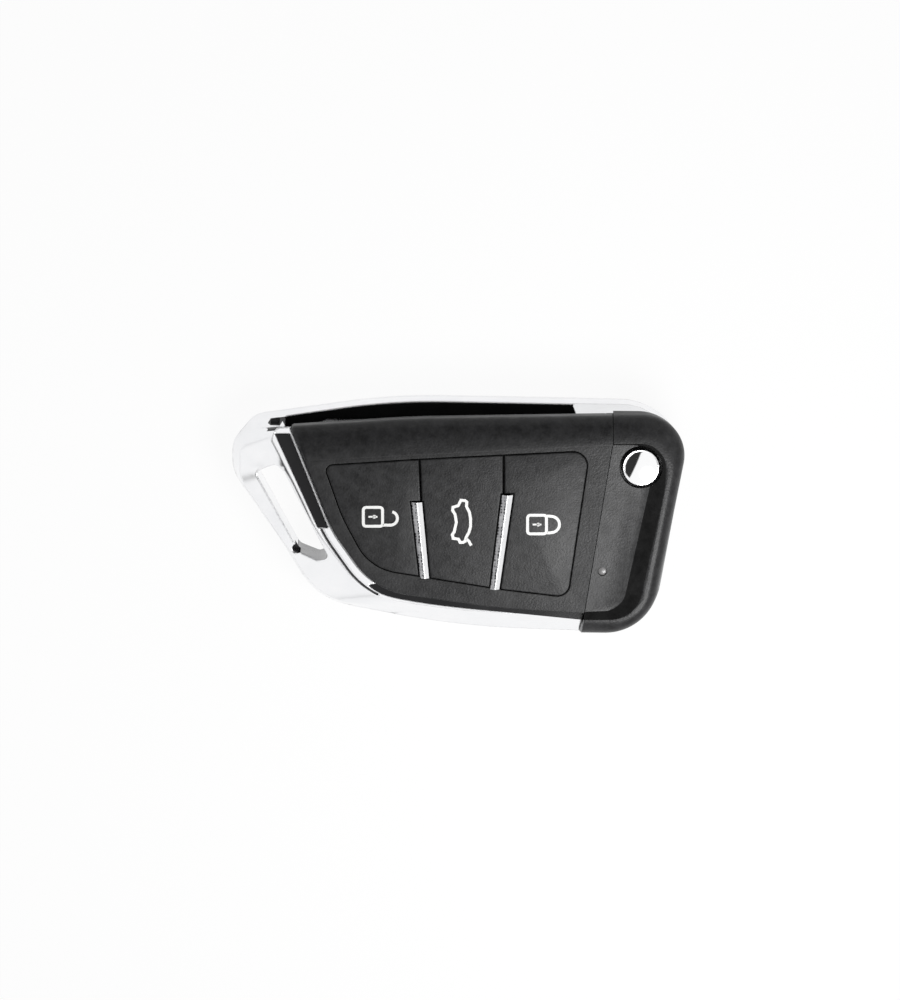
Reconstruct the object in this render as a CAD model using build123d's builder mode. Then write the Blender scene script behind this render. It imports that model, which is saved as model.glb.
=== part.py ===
from build123d import *
import math
import os

os.makedirs("parts", exist_ok=True)

# Overall size of the closed fob, in millimetres
body_length = 78.0
body_width = 41.7
body_height = 15.5
width_share_of_length = 0.5346

# Heights of the layers above the back face, as shares of the body's height
frame_back_level = 0.0645
belt_level = 0.29
rail_top_level = 0.4065
board_level = 0.4645
post_top_level = 0.51
cover_bottom_level = 0.69
frame_top_level = 0.8
crease_left_level = 0.535
crease_right_level = 0.768
frame_back_height = frame_back_level * body_height
belt_height = belt_level * body_height
rail_top_height = rail_top_level * body_height
board_height = board_level * body_height
pivot_post_height = post_top_level * body_height
cover_bottom_height = cover_bottom_level * body_height
frame_top_height = frame_top_level * body_height
crease_left_height = crease_left_level * body_height
crease_right_height = crease_right_level * body_height

# Clearances
fit_gap = 0.1
running_gap = 0.06
seam_gap = 0.05
key_gap = 0.14
overrun = 1.0

# Walls of the moulded shells
shell_wall = 1.3
rear_floor = 1.4
rear_edge_share = 0.038
ledge_width = 1.2
lap_reach = 1.2
lap_thickness = 0.5

# Frame details
lip_width = 0.42
crescent_width = 1.4
groove_width = 0.35
groove_depth = 0.45
inlay_depth = 0.8
inlay_proud = 0.12
rail_width = 0.9
rail_foot_share = 0.55
rail_end_slant = 7.0
back_inset = 3.0
pocket_radius = 0.85
pocket_depth = 1.6
slot_web = 0.9
slot_notch = 1.6
slot_notch_share = 0.78

# Main face of the front shells, which falls a little towards the pivot end
face_drop = 1.0
face_tilt = 0.85
panel_proud = 0.1

# Keys, bars and the parts under them
key_travel = 0.4
key_flange = 0.6
key_flange_thickness = 0.6
key_edge_share = 0.012
flange_clearance = 0.2
key_foot_radius = 1.2
foot_gap = 0.45
bar_top_width = 1.85
bar_bottom_width = 1.54
bar_ridge_width = 0.12
bar_base_height = 0.75
bar_ridge_height = 0.5
bar_gap = 0.22
mat_thickness = 0.6

# Circuit board and what it carries
board_thickness = 1.0
board_inset = 2.1
tongue_width = 6.6
tongue_length = 6.2
tongue_end = 2.2
post_radius = 1.1
switch_width = 4.5
switch_height_share = 0.8
plunger_radius = 0.9
control_chip_width = 5.0
control_chip_height_share = 0.5
radio_chip_width = 3.5
radio_chip_height_share = 0.45
crystal_length = 3.2
crystal_width = 2.5
crystal_height_share = 0.4
lamp_length = 1.6
lamp_width = 0.8
lamp_height_share = 0.35

# Coin cell and its contacts
battery_diameter = 20.0
battery_thickness = 3.2
battery_edge = 0.4
battery_cap_height = 0.2
battery_cap_inset = 1.2
clip_thickness = 0.3
clip_width = 5.0
clip_gap = 0.2
clip_finger_width = 0.9

# Immobiliser coil and chip
coil_length = 9.0
coil_flange_length = 1.0
coil_core_width = 2.0
coil_core_height = 1.4
coil_winding_width = 3.2
coil_winding_height = 2.6
chip_length = 12.0
chip_width = 5.8
chip_thickness = 3.0
chip_pocket_wall = 0.8
chip_edge_radius = 0.5

# Blade and flip head
blade_width = 6.6
blade_thickness = 2.4
blade_length = 53.0
blade_tip_length = 5.0
blade_tip_width = 2.6
blade_groove_width = 1.6
blade_groove_depth = 0.7
tang_width = 5.0
tang_length = 4.6
head_play = 0.15
pin_radius = 0.8
pin_bore_radius = 0.4
pin_play = 0.03
hub_radius = 5.3
hub_bottom_height = 2.0
hub_floor = 1.0
hub_bore_radius = 4.5
swing_radius = 10.3
bay_wall = 0.6
tray_thickness = 0.8

# Release button and its spring
button_radius = 3.3
button_ring_gap = 0.4
button_ring_depth = 1.6
button_sink = 0.15
button_dome_height = 0.75
button_flange_radius = 4.3
button_flange_thickness = 1.3
post_bore_gap = 0.2
post_bore_depth = 0.6
pivot_post_radius = 1.6
spring_coil_radius = 3.2
spring_wire_radius = 0.3
spring_turns = 5
spring_end_gap = 0.05

# Indicator window
window_radius = 0.75
window_sink = 0.12
window_lamp_gap = 0.5
window_collar_radius = 1.3
window_collar_thickness = 0.8

# Screws of the pivot end
screw_head_radius = 1.5
screw_head_thickness = 1.1
screw_sink = 0.15
screw_radius = 0.7
screw_slot_length = 1.9
screw_slot_width = 0.4
screw_slot_depth = 0.4
screw_tip_level = 0.7
boss_radius = 1.7
rear_boss_radius = 2.4

half_length = body_length / 2
half_width = body_width / 2
corner_scale = min(half_width, half_length * width_share_of_length)

# Corners of the outlines seen from the front: place along the length, place across the width
# and corner radius, as shares of half the length, half the width and the corner scale
outer_shares = [
    (-0.999, 0.365, 0.336), (-0.999, 0.62, 0.22), (-0.9, 0.845, 0.2), (-0.282, 1.006, 5.276),
    (1.05, 0.957, 0.523), (0.858, -1.006, 0.47), (0, -0.951, 7.194), (-0.623, -0.718, 0.6),
    (-0.779, -0.24, 1.918),
]
crease_shares = [
    (-0.968, 0.336, 0.288), (-0.964, 0.6, 0.18), (-0.89, 0.76, 0.16), (-0.282, 0.854, 5.276),
    (0.974, 0.767, 0.384), (0.795, -0.844, 0.336), (0, -0.755, 7.194), (-0.603, -0.695, 0.552),
    (-0.759, -0.24, 1.918),
]
plateau_shares = [
    (-0.755, 0.45, 1.4), (-0.825, 0.7, 0.05), (-0.8, 0.8, 0.05), (-0.282, 0.85, 5.276),
    (0.923, 0.815, 0.288), (0.769, -0.815, 0.288), (-0.026, -0.738, 5.755), (-0.405, -0.619, 0.624),
    (-0.618, -0.096, 1.055),
]
cover_edge_shares = [
    (-0.742, 0.815, 0.029), (-0.205, 0.88, 7.194), (0.872, 0.911, 0.192), (0.769, -0.777, 0.192),
    (0.179, -0.707, 5.755), (-0.372, -0.558, 0.624), (-0.555, -0.067, 1.007),
]
cover_crest_shares = [
    (-0.67, 0.564, 0.024), (-0.205, 0.604, 7.194), (0.872, 0.705, 0.144), (0.751, -0.743, 0.168),
    (0.179, -0.674, 5.755), (-0.364, -0.523, 0.59), (-0.539, -0.055, 0.959),
]
pivot_edge_shares = [
    (-0.999, 0.365, 0.336), (-0.999, 0.62, 0.22), (-0.9, 0.845, 0.2), (-0.282, 0.925, 5.276),
    (1.037, 0.906, 0.345), (0.846, -0.93, 0.446), (0, -0.91, 7.194), (-0.623, -0.718, 0.6),
    (-0.779, -0.24, 1.918),
]
pivot_crest_shares = [
    (-0.872, 0.336, 0.1), (-0.872, 0.5, 0.1), (-0.82, 0.6, 0.1), (-0.282, 0.624, 5.276),
    (0.96, 0.702, 0.264), (0.808, -0.79, 0.288), (0, -0.786, 7.194), (-0.572, -0.624, 0.576),
    (-0.731, -0.24, 1.918),
]
rear_edge_shares = [
    (-0.733, 0.748, 0.048), (-0.205, 0.825, 7.194), (0.872, 0.858, 0.192), (0.769, -0.777, 0.192),
    (0.179, -0.707, 5.755), (-0.372, -0.558, 0.624), (-0.562, -0.067, 1.007),
]
recess_rim_shares = [
    (0.256, 0.676, 0), (0.919, 0.693, 0.206), (0.91, 0.302, 0.384), (0.785, -0.787, 0.264),
    (0.256, -0.791, 0),
]
recess_floor_shares = [
    (0.256, 0.664, 0), (0.903, 0.669, 0.187), (0.844, 0.317, 0.192), (0.723, -0.719, 0.192),
    (0.256, -0.748, 0),
]
panel_shares = [
    (-0.594, 0.511, 0.058), (-0.205, 0.557, 2.878), (0.583, 0.628, 0.125), (0.487, -0.612, 0.106),
    (0.19, -0.544, 3.837), (-0.391, -0.362, 0.432), (-0.513, 0.072, 1.199),
]
keyring_shares = [
    (-0.896, 0.405, 0.048), (-0.803, 0.489, 0.058), (-0.767, 0.427, 0.048), (-0.569, -0.307, 0.038),
    (-0.615, -0.336, 0.038), (-0.703, -0.269, 0.077),
]
head_base_shares = [
    (0.53, 0.446, 0.038), (0.53, 0.83, 0.15), (0.493, 0.948, 0.03), (0.974, 0.936, 0.446),
    (0.954, 0.235, 0.19), (0.8, 0.16, 0.24), (0.669, 0.3, 0.19),
]
head_top_shares = [
    (0.53, 0.446, 0.038), (0.53, 0.83, 0.15), (0.508, 0.9, 0.03), (0.974, 0.888, 0.42),
    (0.954, 0.235, 0.19), (0.8, 0.16, 0.24), (0.669, 0.3, 0.19),
]

# Places without a radius, as shares of half the length and half the width
seam_shares = [(0.682, 1.151), (0.682, 0.681), (0.523, -1.151)]
crest_line_shares = [(-0.9, 0.525), (0.9, 0.69)]
left_inlay_shares = [(-0.806, 0.745), (-0.7, 0.745), (-0.5, -0.04), (-0.619, -0.04)]
bottom_inlay_shares = [
    (-0.394, -0.53), (-0.345, -0.591), (-0.257, -0.64), (-0.08, -0.694), (0.097, -0.732),
    (0.274, -0.766), (0.452, -0.8), (0.667, -0.838),
]
crescent_window_shares = [(-0.7, -0.048), (-0.5, -0.048), (-0.33, -0.53), (-0.38, -0.7), (-0.7, -0.3)]
first_split_shares = [(-0.174, 0.75), (-0.162, 0.2), (-0.147, -0.62)]
second_split_shares = [(0.201, 0.78), (0.201, 0.28), (0.162, -0.66)]
first_bar_shares = [(-0.182, 0.194), (-0.147, -0.445)]
second_bar_shares = [(0.218, 0.254), (0.162, -0.539)]
switch_shares = [(-0.349, 0.072), (0.013, 0.038), (0.367, 0.005)]
post_shares = [(-0.4, 0.3), (-0.33, -0.25), (0.47, 0.28), (0.43, -0.43)]
screw_shares = [(0.74, -0.62), (0.826, -0.2)]
pivot_share = (0.805, 0.484)
window_share = (0.637, -0.389)
pin_share = (0.585, 0.667)
pocket_share = (-0.712, -0.245)
battery_share = (0.1, -0.13)
control_chip_share = (0.18, -0.29)
radio_chip_share = (-0.19, -0.22)
crystal_share = (0.19, 0.24)
coil_share = (-0.34, 0.02)
chip_pocket_share = (-0.35, 0.556)
blade_line_share = 0.667
skirt_end_share = -0.02
slot_end_share = -0.764
cover_corner_share = 0.805
tray_wall_end_share = 0.515
rail_end_share = 1.105

crown_angles = (0, 35, 65, 90)
frame_back_share = frame_back_height / belt_height
back_shares_of_belt = (frame_back_share, 0.45, 0.7, 1)
foot_shares_of_belt = (0, 0.02, 0.08, frame_back_share)


def corners(shares):
    """Places in millimetres from shares of half the length and half the width."""
    return [(row[0] * half_length, row[1] * half_width) for row in shares]


def rounded(shares, plane, grow=0):
    """A closed outline with a radius at each corner, drawn on the plane and grown by a margin."""
    radii = [row[2] * corner_scale for row in shares]
    with BuildSketch(plane) as outline:
        with BuildLine():
            FilletPolyline(*corners(shares), radius=radii, close=True)
        make_face()
        if grow:
            offset(amount=grow)
    return outline.sketch


def polygon(points, plane):
    """A closed outline with straight sides through points in millimetres."""
    with BuildSketch(plane) as outline:
        with BuildLine():
            Polyline(*points, close=True)
        make_face()
    return outline.sketch


def between(low, high, share):
    """The outline that lies a share of the way from the low one to the high one."""
    return [tuple(a + (b - a) * share for a, b in zip(p, q)) for p, q in zip(low, high)]


def shrunk(shares, inset):
    """The outline drawn in towards the middle by about the inset."""
    along = 1 - inset / half_length
    across = 1 - inset / half_width
    return [(x * along, y * across, r * across) for x, y, r in shares]


# The plan origin is moved to the middle of the widest outlines
outer_box = rounded(outer_shares, Plane.XY).bounding_box()
pivot_box = rounded(pivot_edge_shares, Plane.XY).bounding_box()
shift_x = -(outer_box.min.X + max(outer_box.max.X, pivot_box.max.X)) / 2
shift_y = -(outer_box.min.Y + outer_box.max.Y) / 2


def level(height):
    """The plan plane at a height above the back face."""
    return Plane(origin=(shift_x, shift_y, height))


def place(share, height=0):
    """A point in the part's frame from a pair of shares and a height."""
    return (share[0] * half_length + shift_x, share[1] * half_width + shift_y, height)


def crown(low, high, low_height, high_height):
    """Sections of a rounded edge that runs in from the low outline to the high one."""
    sections = []
    for angle in crown_angles:
        turn = math.radians(angle)
        height = low_height + (high_height - low_height) * math.sin(turn)
        sections.append(rounded(between(low, high, 1 - math.cos(turn)), level(height)))
    return sections


def back_section(height):
    """The outer outline on the rounded back, between the belt and the back face."""
    depth = (belt_height - height) / belt_height
    return rounded(shrunk(outer_shares, back_inset * (1 - math.sqrt(1 - depth**2))), level(height))


def wall_section(height):
    """The outline of the pivot end's side between the belt and the top of the frame."""
    share = (height - belt_height) / (frame_top_height - belt_height)
    return rounded(between(outer_shares, pivot_edge_shares, share), level(height))


def beyond_seam(gap=0, plane=None):
    """Everything on the pivot side of the seam, less a gap."""
    seam = [(x + gap, y) for x, y in corners(seam_shares)]
    far = body_length
    return polygon(seam + [(far, seam[2][1]), (far, seam[0][1])], plane or level(-overrun))


def before_seam(gap=0, plane=None):
    """Everything on the tail side of the seam, less a gap."""
    seam = [(x - gap, y) for x, y in corners(seam_shares)]
    far = -body_length
    return polygon(seam + [(far, seam[2][1]), (far, seam[0][1])], plane or level(-overrun))


def lap(gap, plane):
    """The strip over the blade slot where one front shell reaches under the other."""
    seam = seam_shares[1][0] * half_length
    return field(seam - lap_reach - gap, seam + lap_reach, bay_line - gap, body_width, plane)


def face_plane(raised=0):
    """The sloping plane of the main face, raised by a margin."""
    rise = seam_shares[1][0] * half_length * math.tan(math.radians(face_tilt))
    height = body_height - face_drop + rise + raised
    return Plane(origin=(shift_x, shift_y, height)).rotated((0, face_tilt, 0))


def upright(share):
    """The plane through a place that stands along the length, its second axis the height."""
    return Plane(origin=place(share), x_dir=(1, 0, 0), z_dir=(0, -1, 0))


def disc(share, height, radius):
    """A round outline about a place, at a height."""
    with BuildSketch(Plane(origin=place(share, height))) as outline:
        Circle(radius)
    return outline.sketch


def tile(share, height, length, width):
    """A rectangle about a place, at a height."""
    with BuildSketch(Plane(origin=place(share, height))) as outline:
        Rectangle(length, width)
    return outline.sketch


def field(x_low, x_high, y_low, y_high, plane):
    """A rectangle between limits along the length and across the width."""
    return polygon([(x_low, y_low), (x_low, y_high), (x_high, y_high), (x_high, y_low)], plane)


full_height = body_height + 2 * overrun
pivot_point = place(pivot_share)
bay_line = head_base_shares[0][1] * half_width - fit_gap
bay_inner_line = bay_line - bay_wall
tray_bottom_height = rail_top_height - tray_thickness

# Crease plane of the frame, which climbs towards the pivot end
crease_climb = math.degrees(math.atan((crease_right_height - crease_left_height) / body_length))
crease_middle_height = (crease_left_height + crease_right_height) / 2
crease_plane = Plane(origin=(shift_x, shift_y, crease_middle_height)).rotated((0, -crease_climb, 0))


def rail_reach(gap, plane):
    """The stretch of the edge along which the rail runs on past the seam."""
    start = seam_shares[1][0] * half_length - overrun
    end = rail_end_share * half_length + gap
    slant_end = end - rail_end_slant
    return polygon([(start, bay_line), (start, body_width), (end, body_width), (slant_end, bay_line)], plane)


# Bright frame: keyring loop, bottom band, lip round the front cover and rail behind the blade slot
rail_foot_height = rail_foot_share * belt_height

with BuildPart() as frame_rail:
    loft([back_section(rail_foot_height), rounded(outer_shares, level(belt_height))], ruled=True)
    loft([rounded(outer_shares, level(belt_height)), rounded(crease_shares, crease_plane)], ruled=True)
    behind_rail = rounded(outer_shares, level(0), -rail_width)
    above_rail = rounded(outer_shares, level(rail_top_height), rail_width)
    for removed in (behind_rail, above_rail):
        extrude(removed, amount=full_height, mode=Mode.SUBTRACT)
    extrude(rail_reach(0, level(0)), amount=full_height, mode=Mode.INTERSECT)

with BuildPart() as chrome_frame:
    loft([back_section(share * belt_height) for share in back_shares_of_belt])
    loft(
        [
            rounded(outer_shares, level(belt_height)),
            rounded(crease_shares, crease_plane),
            rounded(plateau_shares, level(frame_top_height)),
        ],
        ruled=True,
    )
    # Seat of the front cover, window of the ledge and seat of the rear cover
    cover_seat = rounded(cover_edge_shares, level(cover_bottom_height), fit_gap)
    extrude(cover_seat, amount=full_height, mode=Mode.SUBTRACT)
    ledge_window = rounded(cover_edge_shares, level(belt_height), -ledge_width)
    extrude(ledge_window, amount=full_height, mode=Mode.SUBTRACT)
    rear_seat = rounded(rear_edge_shares, level(-overrun), fit_gap)
    extrude(rear_seat, amount=belt_height + overrun, mode=Mode.SUBTRACT)
    # Blade slot, open along the top edge
    slot_end = slot_end_share * half_length
    bay_height = cover_bottom_height - rail_top_height
    slot = field(slot_end, body_length, bay_line, body_width, level(rail_top_height))
    extrude(slot, amount=bay_height, mode=Mode.SUBTRACT)
    cover_corner = cover_corner_share * half_width
    above_slot = field(slot_end, body_length, cover_corner, body_width, level(rail_top_height))
    extrude(above_slot, amount=full_height, mode=Mode.SUBTRACT)
    with BuildSketch(level(tray_bottom_height - fit_gap)):
        add(field(slot_end, body_length, bay_line, body_width, Plane.XY))
        add(rounded(outer_shares, Plane.XY, -rail_width), mode=Mode.INTERSECT)
    extrude(amount=tray_thickness + fit_gap, mode=Mode.SUBTRACT)
    # Small notch beside the end of the slot, behind a thin web
    notch_end = slot_end - slot_web
    notch_side = slot_notch_share * half_width
    notch = field(notch_end - slot_notch, notch_end, notch_side, body_width, level(rail_top_height))
    extrude(notch, amount=bay_height, mode=Mode.SUBTRACT)
    # Pivot end
    extrude(beyond_seam(), amount=full_height, mode=Mode.SUBTRACT)
    # Keyring opening with a round pocket at its foot
    extrude(rounded(keyring_shares, level(-overrun)), amount=full_height, mode=Mode.SUBTRACT)
    with Locations(Plane(origin=place(pocket_share, frame_top_height))):
        Cylinder(pocket_radius, 2 * (frame_top_height - belt_height - pocket_depth), mode=Mode.SUBTRACT)
    # Seats of the two gloss inlays
    with BuildSketch(level(frame_top_height - inlay_depth)):
        with BuildLine():
            Polyline(*corners(left_inlay_shares), close=True)
        make_face()
        add(rounded(cover_edge_shares, Plane.XY, fit_gap + lip_width), mode=Mode.SUBTRACT)
    extrude(amount=full_height, mode=Mode.SUBTRACT)
    with BuildSketch(level(frame_top_height - inlay_depth)):
        with BuildLine():
            lower_edge = Spline(*corners(bottom_inlay_shares))
            Line(lower_edge @ 1, (lower_edge @ 1).X * Vector(1, 0))
            Line((lower_edge @ 1).X * Vector(1, 0), lower_edge @ 0)
        make_face()
    extrude(amount=full_height, mode=Mode.SUBTRACT)
    # Groove along the outer side of the crescent
    with BuildSketch(level(frame_top_height - groove_depth)):
        add(rounded(cover_edge_shares, Plane.XY, fit_gap + crescent_width + groove_width))
        add(rounded(cover_edge_shares, Plane.XY, fit_gap + crescent_width), mode=Mode.SUBTRACT)
        add(polygon(corners(crescent_window_shares), Plane.XY), mode=Mode.INTERSECT)
    extrude(amount=full_height, mode=Mode.SUBTRACT)
    add(frame_rail.part)
chrome_frame.part.label = "chrome_frame"
export_step(chrome_frame.part, "parts/chrome_frame.step")

# Gloss inlays let into the frame on the left and along the bottom
inlay_height = inlay_depth + inlay_proud
inlay_bottom = frame_top_height - inlay_depth

with BuildPart() as frame_inlay_left:
    with BuildSketch(level(inlay_bottom)) as left_strip:
        with BuildLine():
            Polyline(*corners(left_inlay_shares), close=True)
        make_face()
        add(rounded(cover_edge_shares, Plane.XY, fit_gap + lip_width), mode=Mode.SUBTRACT)
    extrude(amount=inlay_height)
frame_inlay_left.part.label = "frame_inlay_left"
export_step(frame_inlay_left.part, "parts/frame_inlay_left.step")

with BuildPart() as frame_inlay_bottom:
    with BuildSketch(level(inlay_bottom)) as bottom_strip:
        with BuildLine():
            lower_edge = Spline(*corners(bottom_inlay_shares))
            Line(lower_edge @ 1, (lower_edge @ 1).X * Vector(1, 0))
            Line((lower_edge @ 1).X * Vector(1, 0), lower_edge @ 0)
        make_face()
        add(rounded(cover_edge_shares, Plane.XY, fit_gap), mode=Mode.SUBTRACT)
    extrude(amount=inlay_height)
    extrude(beyond_seam(-fit_gap), amount=full_height, mode=Mode.SUBTRACT)
frame_inlay_bottom.part.label = "frame_inlay_bottom"
export_step(frame_inlay_bottom.part, "parts/frame_inlay_bottom.step")


# Key panel: three keys split by thin gaps, with a bright bar over each gap's lower half
cavity_top_height = body_height - face_drop - 2 * shell_wall + key_flange_thickness
flange_top_height = cavity_top_height - flange_clearance
flange_bottom_height = flange_top_height - key_flange_thickness
mat_top_height = flange_bottom_height - 2 * foot_gap
mat_bottom_height = mat_top_height - mat_thickness
split_lines = (first_split_shares, second_split_shares)
bar_lines = (first_bar_shares, second_bar_shares)


def bar_outline(line_shares, plane, grow=0):
    """A bar seen from the front, wide at its top end and narrower at its foot."""
    (top_x, top_y), (foot_x, foot_y) = corners(line_shares)
    top = bar_top_width / 2 + grow
    foot = bar_bottom_width / 2 + grow
    top_ends = [(top_x - top, top_y + grow), (top_x + top, top_y + grow)]
    return polygon(top_ends + [(foot_x + foot, foot_y), (foot_x - foot, foot_y)], plane)


def panel_pieces(grow, bars_cleared):
    """The three fields of the key panel, from left to right."""
    with BuildSketch(Plane.XY) as panel:
        add(rounded(panel_shares, Plane.XY, grow))
        for line_shares in split_lines:
            with BuildLine(mode=Mode.PRIVATE) as split_line:
                Polyline(*corners(line_shares))
            trace(split_line.line, 2 * key_gap, mode=Mode.SUBTRACT)
        if bars_cleared:
            for line_shares in bar_lines:
                add(bar_outline(line_shares, Plane.XY, bar_gap), mode=Mode.SUBTRACT)
    return panel.faces().sort_by(Axis.X)


def key(index):
    """One key: a cap flush with the main face, a flange under the cover and a foot for its switch."""
    with BuildPart() as body:
        with BuildSketch(level(flange_top_height)):
            add(panel_pieces(-key_gap, True)[index])
        extrude(amount=body_height)
        split(bisect_by=face_plane(panel_proud), keep=Keep.BOTTOM)
        rim = body.faces().sort_by(Axis.Z)[-1].edges()
        fillet(rim, key_edge_share * corner_scale)
        with BuildSketch(level(flange_bottom_height)):
            add(panel_pieces(key_flange, False)[index])
        extrude(amount=key_flange_thickness)
        with BuildSketch(Plane(origin=place(switch_shares[index], flange_bottom_height))):
            Circle(key_foot_radius)
        extrude(amount=foot_gap - flange_bottom_height + mat_top_height)
    return body.part


key_names = ("unlock_key", "boot_key", "lock_key")
for index, key_name in enumerate(key_names):
    piece = key(index)
    piece.label = key_name
    export_step(piece, f"parts/{key_name}.step")


# Front cover: shell over the keys with a crowned top band, a falling main face and ribs for the bars
rib_top_height = body_height - face_drop - bar_base_height / 2

with BuildPart() as front_cover:
    cover_edge = rounded(cover_edge_shares, level(cover_bottom_height))
    extrude(cover_edge, amount=frame_top_height - cover_bottom_height)
    loft(crown(cover_edge_shares, cover_crest_shares, frame_top_height, body_height))
    crest_line = corners(crest_line_shares)
    below_crest = crest_line + [(crest_line[1][0], -body_width), (crest_line[0][0], -body_width)]
    extrude(polygon(below_crest, face_plane()), amount=body_height, mode=Mode.SUBTRACT)
    extrude(beyond_seam(-seam_gap), amount=full_height, mode=Mode.SUBTRACT)
    extrude(lap(fit_gap, level(cover_bottom_height)), amount=lap_thickness + fit_gap, mode=Mode.SUBTRACT)
    # Hollow under the main face, which stops at the wall of the blade bay
    with BuildSketch(level(cover_bottom_height)):
        add(rounded(cover_edge_shares, Plane.XY, -shell_wall))
        add(field(-half_length, half_length, -body_width, bay_inner_line, Plane.XY), mode=Mode.INTERSECT)
        add(before_seam(shell_wall, Plane.XY), mode=Mode.INTERSECT)
    extrude(amount=cavity_top_height - cover_bottom_height, mode=Mode.SUBTRACT)
    # Room for the flanges of the keys, also over the blade bay
    flange_room_height = flange_bottom_height - key_travel - fit_gap
    flange_room = rounded(panel_shares, level(flange_room_height), key_flange + fit_gap)
    extrude(flange_room, amount=cavity_top_height - flange_room_height, mode=Mode.SUBTRACT)
    # Key opening, bridged by a rib under each bar
    with BuildSketch(level(cavity_top_height)):
        add(rounded(panel_shares, Plane.XY))
        for line_shares in bar_lines:
            add(bar_outline(line_shares, Plane.XY, -bar_gap), mode=Mode.SUBTRACT)
    extrude(amount=full_height, mode=Mode.SUBTRACT)
    with BuildSketch(level(rib_top_height)):
        for line_shares in bar_lines:
            add(bar_outline(line_shares, Plane.XY))
    extrude(amount=full_height, mode=Mode.SUBTRACT)
front_cover.part.label = "front_cover"
export_step(front_cover.part, "parts/front_cover.step")


def accent_bar(line_shares):
    """A bright bar with two facets that meet in a ridge."""
    (top_x, top_y), (foot_x, foot_y) = corners(line_shares)
    half_ridge = bar_ridge_width / 2
    ridge = [
        (top_x - half_ridge, top_y),
        (top_x + half_ridge, top_y),
        (foot_x + half_ridge, foot_y),
        (foot_x - half_ridge, foot_y),
    ]
    shoulder = rib_top_height + bar_base_height
    with BuildPart() as bar:
        extrude(bar_outline(line_shares, level(rib_top_height)), amount=bar_base_height)
        loft([bar_outline(line_shares, level(shoulder)), polygon(ridge, level(shoulder + bar_ridge_height))])
    return bar.part


for bar_name, line_shares in zip(("accent_bar_left", "accent_bar_right"), bar_lines):
    piece = accent_bar(line_shares)
    piece.label = bar_name
    export_step(piece, f"parts/{bar_name}.step")


# Pivot cover: front shell of the pivot end, with a rim round a sunk field
skirt_end = skirt_end_share * half_width
skirt_hollow_end = skirt_end - shell_wall
pivot_hollow_top_height = cavity_top_height + fit_gap
screw_head_top_height = screw_sink + screw_head_thickness
screw_tip_height = screw_tip_level * body_height

with BuildPart() as pivot_cover:
    loft([wall_section(rail_top_height), wall_section(frame_top_height)], ruled=True)
    loft(crown(pivot_edge_shares, pivot_crest_shares, frame_top_height, body_height))
    extrude(before_seam(-seam_gap), amount=full_height, mode=Mode.SUBTRACT)
    # Sunk field with sloping walls, its floor level with the main face
    recess = [rounded(recess_floor_shares, face_plane()), rounded(recess_rim_shares, level(body_height))]
    loft(recess, ruled=True, mode=Mode.SUBTRACT)
    # Room for the flip head and the blade under the upper part
    swing_room = field(0, body_length, skirt_end, body_width, level(rail_top_height))
    extrude(swing_room, amount=cover_bottom_height - rail_top_height, mode=Mode.SUBTRACT)
    # Lap under the end of the front cover
    with BuildSketch(level(cover_bottom_height)):
        add(lap(0, Plane.XY))
        add(rounded(cover_edge_shares, Plane.XY), mode=Mode.INTERSECT)
    extrude(amount=lap_thickness)
    # Hollow of the skirt, with a boss for each screw
    with BuildSketch(level(rail_top_height)):
        add(rounded(pivot_edge_shares, Plane.XY, -shell_wall))
        add(field(0, body_length, -body_width, skirt_hollow_end, Plane.XY), mode=Mode.INTERSECT)
        for share in screw_shares:
            with Locations((share[0] * half_length, share[1] * half_width)):
                Circle(boss_radius, mode=Mode.SUBTRACT)
    extrude(amount=pivot_hollow_top_height - rail_top_height, mode=Mode.SUBTRACT)
    for share in screw_shares:
        pilot = disc(share, rail_top_height, screw_radius + running_gap)
        extrude(pilot, amount=screw_tip_height + fit_gap - rail_top_height, mode=Mode.SUBTRACT)
    # Guide bore of the release button with a wider ring round its top, and the window's hole
    ring_bottom = body_height - face_drop - button_ring_depth
    bores = (
        disc(pivot_share, ring_bottom, button_radius + button_ring_gap),
        disc(pivot_share, rail_top_height, button_radius + running_gap),
        disc(window_share, rail_top_height, window_radius + running_gap),
    )
    for bore in bores:
        extrude(bore, amount=body_height, mode=Mode.SUBTRACT)
pivot_cover.part.label = "pivot_cover"
export_step(pivot_cover.part, "parts/pivot_cover.step")


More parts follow.
